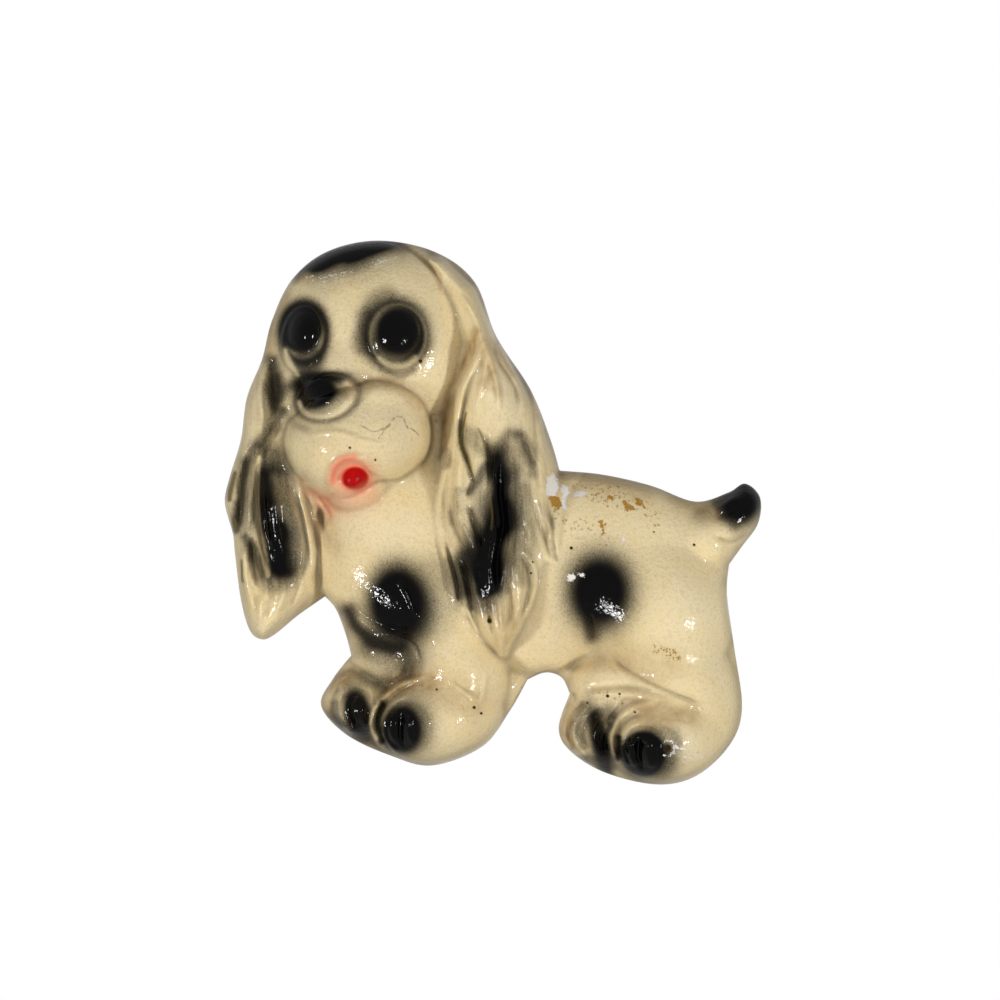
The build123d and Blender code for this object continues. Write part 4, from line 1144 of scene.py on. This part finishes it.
def bare_plaster(settings):
    """Set plaster of Paris, struck off flat: chalky and unpainted, with bubbles, scrape marks and dirt."""
    material, tree = blank(bpy.data.materials, "bare_plaster_of_paris")
    place = add(tree, "ShaderNodeTexCoord", output="Object")
    along_scrape = add(tree, "ShaderNodeMapping", {
        "Vector": place, "Rotation": (0, math.radians(12), 0), "Scale": (0.06, 1, 1)})
    cloud, fine, scrape = (add(tree, "ShaderNodeTexNoise", {
        "Vector": where, "Scale": 1 / (size * MM), "Detail": 4, "Roughness": 0.6})
        for where, size in ((place, 30), (place, 1.2), (along_scrape, 0.9)))
    bubble_inputs = {"Vector": place, "Scale": 1 / (7 * MM)}
    chosen = add(tree, "ShaderNodeSeparateColor", {
        "Color": add(tree, "ShaderNodeTexVoronoi", bubble_inputs, "Color")})
    rare = add(tree, "ShaderNodeMapRange", {"Value": chosen, "From Min": 0.6, "From Max": 0.62})
    off_centre = add(tree, "ShaderNodeTexVoronoi", bubble_inputs, "Distance")
    round_hole = add(tree, "ShaderNodeMapRange", {"Value": off_centre, "From Min": 0.11, "From Max": 0.05})
    pit = add(tree, "ShaderNodeMath", {0: rare, 1: round_hole}, operation="MULTIPLY")
    body = coated(tree, settings.plaster, (
        (cloud, 0.35, 0.7, 1, settings.back_stain),
        (fine, 0.5, 0.8, 0.3, settings.painted_shade_and_dust),
        # painted shade and dust in the bubbles
        (pit, 0, 1, 0.6, settings.painted_shade_and_dust)))
    rough = add(tree, "ShaderNodeBump", {"Strength": 0.6, "Distance": 0.12 * MM, "Height": fine})
    scraped = add(tree, "ShaderNodeBump", {
        "Strength": 0.5, "Distance": 0.1 * MM, "Height": scrape, "Normal": rough})
    pitted = add(tree, "ShaderNodeBump", {
        "Distance": 0.5 * MM, "Height": pit, "Normal": scraped}, invert=True)
    shader = add(tree, "ShaderNodeBsdfPrincipled", {
        "Base Color": body, "Roughness": 0.9, "Specular IOR Level": 0.25, "Normal": pitted})
    add(tree, "ShaderNodeOutputMaterial", {"Surface": shader})
    return material


def galvanised_steel(settings):
    """Hot-dipped galvanised wire: a dull zinc skin with faint spangle, smeared greyer by handling."""
    material, tree = blank(bpy.data.materials, "galvanised_steel_wire")
    place = add(tree, "ShaderNodeTexCoord", output="Object")
    spangle = add(tree, "ShaderNodeTexVoronoi", {"Vector": place, "Scale": 1 / (1.6 * MM)}, "Distance")
    smear, drawn = (add(tree, "ShaderNodeTexNoise", {"Vector": place, "Scale": 1 / (size * MM), "Detail": 3})
                    for size in (4, 0.5))
    share = add(tree, "ShaderNodeMapRange", {"Value": smear, "From Min": 0.35, "From Max": 0.7})
    skin = add(tree, "ShaderNodeMix", {
        0: share, 6: (*settings.zinc, 1), 7: (*settings.dull_zinc, 1)}, 2, data_type="RGBA")
    shader = add(tree, "ShaderNodeBsdfPrincipled", {
        "Base Color": skin,
        "Metallic": 1,
        "Roughness": add(tree, "ShaderNodeMapRange", {"Value": spangle, "To Min": 0.36, "To Max": 0.56}),
        "Normal": add(tree, "ShaderNodeBump", {"Strength": 0.3, "Distance": 0.03 * MM, "Height": drawn}),
    })
    add(tree, "ShaderNodeOutputMaterial", {"Surface": shader})
    return material


def white_surround(settings):
    """A world that is white where it shows, straight or in a gloss, and lights the object softly."""
    bpy.context.scene.world, tree = blank(bpy.data.worlds, "studio_surround")
    # A gloss shows the white backdrop, which lies behind the object, and the dimmer room in front of it
    heading = add(tree, "ShaderNodeSeparateXYZ", {
        "Vector": add(tree, "ShaderNodeTexCoord", output="Generated")}, "Y")
    backdrop = add(tree, "ShaderNodeMapRange", {"Value": heading, "From Min": BACKDROP_START, "From Max": 1})
    glossy = add(tree, "ShaderNodeLightPath", output="Is Glossy Ray")
    shown = add(tree, "ShaderNodeMath", {0: glossy, 1: backdrop}, operation="MULTIPLY")
    for ray in ("Is Camera Ray", "Is Transmission Ray"):
        seen = add(tree, "ShaderNodeLightPath", output=ray)
        shown = add(tree, "ShaderNodeMath", {0: shown, 1: seen}, use_clamp=True)
    strength = add(tree, "ShaderNodeMapRange", {"Value": shown, "To Min": settings.fill_light, "To Max": 1})
    light = add(tree, "ShaderNodeBackground", {"Color": (1, 1, 1, 1), "Strength": strength})
    add(tree, "ShaderNodeOutputWorld", {"Surface": light})


def studio_paper():
    """Matt white studio paper: chalky and even, so that it shows nothing but the object's soft shadow.

    The lamps face the object, so the paper shows paler to the camera than their spill alone would make it.
    """
    material, tree = blank(bpy.data.materials, "matt_studio_paper")
    seen = add(tree, "ShaderNodeLightPath", output="Is Camera Ray")
    shader = add(tree, "ShaderNodeBsdfPrincipled", {
        "Base Color": (*linear("#F4F3F0"), 1), "Roughness": 0.9, "Emission Color": (1, 1, 1, 1),
        "Emission Strength": add(tree, "ShaderNodeMath", {0: seen, 1: PAPER_GLOW}, operation="MULTIPLY")})
    add(tree, "ShaderNodeOutputMaterial", {"Surface": shader})
    return material


def lamp(name, place, target, size, power):
    """A round lamp that faces its target."""
    data = bpy.data.lights.new(name, "AREA")
    data.shape, data.size, data.energy = "DISK", size, power
    piece = linked(name, data)
    piece.location = place
    piece.rotation_euler = (Vector(target) - Vector(place)).to_track_quat("-Z", "Y").to_euler()
    return piece


class CastingSettings(bpy.types.PropertyGroup):
    mesh_pitch: length("Mesh pitch", "Distance between the points of the casting's front", 0.5 * MM)
    edge_roll: length("Edge roll", "How far in from the outline the front rolls over to the wall", 3.6 * MM)
    unevenness: length("Unevenness", "How deep the hand-made waves of the surface are", 0.12 * MM)
    unevenness_size: length("Wave length", "How long the hand-made waves of the surface are", 14 * MM)
    hair_depth: plain("Hair depth", "Scales the modelled strands, rims and creases", 1.7, max=3)
    varnish: plain("Varnish", "How much of the gloss varnish is left", 0.58, subtype="FACTOR", max=1)
    spatter: plain("Spatter", "How coarsely the airbrush spatters", 0.5, max=2)
    cream: colour("Cream", "The cream lacquer", "#EBD9AE")
    aged_cream: colour("Aged cream", "The lacquer where it has yellowed", "#E9D3A0")
    pale_cream: colour("Pale cream", "The lacquer where it is thin", "#EEE2C6")
    speckle: colour("Speckle", "The dark grains in the lacquer", "#A98F5F")
    ochre: colour("Ochre", "The airbrushed ochre in the folds", "#A8824A")
    black: colour("Black", "The airbrushed black", "#060505")
    red: colour("Red", "The red of the tongue", "#B40303")
    red_mist: colour("Red mist", "The thin red around the mouth", "#EE8466")
    olive: colour("Olive", "The stained varnish in the deep cracks", "#6A5B26")
    # Also the colour of the shade painted into the relief's hollows, and of the dust on the bare back
    painted_shade_and_dust: colour("Grime", "The dirt in the hollows", "#574C3E")
    plaster: colour("Plaster", "Bare plaster where the paint has flaked", "#E9E4DC")
    chip: colour("Chip", "Stained plaster in the ochre chips", "#B0853F")
    # dirt in the cracks, and painted shade with dirt in the pinholes
    dirt_and_hole_shade: colour("Dirt", "Dirt in pinholes and cracks", "#3A2C17")
    back_stain: colour("Back stain", "The yellowed plaster of the back", "#D6C8AC")


class HangerSettings(bpy.types.PropertyGroup):
    zinc: colour("Zinc", "The bright zinc of the hanger wire", "#B9BCBC")
    dull_zinc: colour("Dull zinc", "The oxidised zinc of the hanger wire", "#8F9394")


class StudioSettings(bpy.types.PropertyGroup):
    camera_distance: length("Camera distance", "How far the camera stands from the wall plane", 3.0)
    view_width: length("View width", "How much of the wall plane the picture takes in, side to side", 0.3545)
    floor_drop: length("Floor drop", "How far the floor lies below the hung plaque", 0.12)
    fill_light: plain("Fill light", "Strength of the light from all round", 0.26)
    key_power: plain("Key power", "Power of each small lamp near the camera", 13.5, unit="POWER")
    soft_power: plain("Soft power", "Power of the large overhead lamp", 5.6, unit="POWER")


class CHALKWARE_OT_casting(bpy.types.Operator):
    """Model the plaster casting and paint it"""
    bl_idname = "chalkware.casting"
    bl_label = "Painted Casting"

    def execute(self, context):
        settings = context.scene.chalkware_casting
        paint = varnished_paint(settings)
        flat = linked("painted_casting_flat", build_casting(settings))
        flat.data.materials.append(paint)
        tree, sockets = relief_tree(paint)
        raising = flat.modifiers.new("raise_relief", "NODES")
        raising.node_group = tree
        raising[sockets["Relief depth"]] = relief_depth
        raising[sockets["Hand-made unevenness"]] = settings.unevenness
        raising[sockets["Unevenness size"]] = settings.unevenness_size
        mesh = evaluated_copy(flat, "painted_casting")
        bpy.data.objects.remove(flat)
        mesh.materials.clear()
        mesh.materials.append(paint)
        mesh.materials.append(bare_plaster(settings))
        form = bmesh.new()
        form.from_mesh(mesh)
        for face in form.faces:
            face.smooth, face.material_index = True, 0
        close_back(form)
        form.to_mesh(mesh)
        form.free()
        casting = linked("painted_casting", mesh)
        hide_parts("plaster_casting")
        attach(casting, "root")
        return {"FINISHED"}


class CHALKWARE_OT_hanger(bpy.types.Operator):
    """Finish the bent wire that the plaque hangs by"""
    bl_idname = "chalkware.hanger"
    bl_label = "Hanger Wire"

    def execute(self, context):
        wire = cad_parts["hanger_wire"]
        wire.data.materials.clear()
        wire.data.materials.append(galvanised_steel(context.scene.chalkware_hanger))
        return {"FINISHED"}


class CHALKWARE_OT_studio(bpy.types.Operator):
    """Set up the floor, the lamps and the camera"""
    bl_idname = "chalkware.studio"
    bl_label = "Studio Stage"

    def execute(self, context):
        settings = context.scene.chalkware_studio
        context.scene.view_settings.view_transform = "Standard"
        white_surround(settings)
        level = cad_low.z - settings.floor_drop
        floor = linked("studio_floor", plain_mesh("studio_floor", [
            (-FLOOR_REACH, -FLOOR_REACH, level), (FLOOR_REACH, -FLOOR_REACH, level),
            (FLOOR_REACH, FLOOR_REACH, level), (-FLOOR_REACH, FLOOR_REACH, level)], [(0, 1, 2, 3)]))
        floor.data.materials.append(studio_paper())
        width, height = figure_high.x - figure_low.x, figure_high.z - figure_low.z
        x = figure_low.x + (PICTURE_MIDDLE - LEFT_EDGE) / (RIGHT_EDGE - LEFT_EDGE) * width
        z = figure_high.z - (PICTURE_MIDDLE - TOP_EDGE) / (FOOT_EDGE - TOP_EDGE) * height
        aim = (x, 0, z)
        for name, side in (("key_lamp_left", -1), ("key_lamp_right", 1)):
            place = (x + side * KEY_SPREAD, -KEY_DISTANCE, z - KEY_DROP)
            lamp(name, place, aim, KEY_SIZE, settings.key_power)
        soft = lamp("soft_lamp", (x, -SOFT_DISTANCE, z + SOFT_RISE), aim, SOFT_SIZE, settings.soft_power)
        soft.visible_glossy = False
        data = bpy.data.cameras.new("camera")
        data.lens = data.sensor_width * settings.camera_distance / settings.view_width
        data.clip_start, data.clip_end = NEAREST_SEEN, FARTHEST_SEEN
        camera = linked("camera", data)
        camera.location = (x, -settings.camera_distance, z)
        camera.rotation_euler = (math.pi / 2, 0, 0)
        context.scene.camera = camera
        return {"FINISHED"}


class CHALKWARE_PT_panel(bpy.types.Panel):
    """The plaque's pieces and their settings"""
    bl_idname = "CHALKWARE_PT_panel"
    bl_label = "Chalkware Plaque"
    bl_space_type = "VIEW_3D"
    bl_region_type = "UI"
    bl_category = "Chalkware"

    def draw(self, context):
        for group in GROUPS:
            box = self.layout.box()
            settings = getattr(context.scene, group)
            for name in settings.__annotations__:
                box.prop(settings, name)
            box.operator(group.replace("_", "."))


GROUPS = {"chalkware_casting": CastingSettings, "chalkware_hanger": HangerSettings,
          "chalkware_studio": StudioSettings}
OTHER_CLASSES = (CHALKWARE_OT_casting, CHALKWARE_OT_hanger, CHALKWARE_OT_studio, CHALKWARE_PT_panel)


def register():
    """Registers the classes and adds the settings to the scene."""
    for name, group in GROUPS.items():
        bpy.utils.register_class(group)
        setattr(bpy.types.Scene, name, bpy.props.PointerProperty(type=group))
    for kind in OTHER_CLASSES:
        bpy.utils.register_class(kind)


def unregister():
    """Removes the settings and the classes."""
    for kind in reversed(OTHER_CLASSES):
        bpy.utils.unregister_class(kind)
    for name, group in GROUPS.items():
        delattr(bpy.types.Scene, name)
        bpy.utils.unregister_class(group)


def main():
    """Makes the plaque and its stage."""
    register()
    bpy.ops.chalkware.casting()
    bpy.ops.chalkware.hanger()
    bpy.ops.chalkware.studio()


if __name__ == "__main__":
    main()
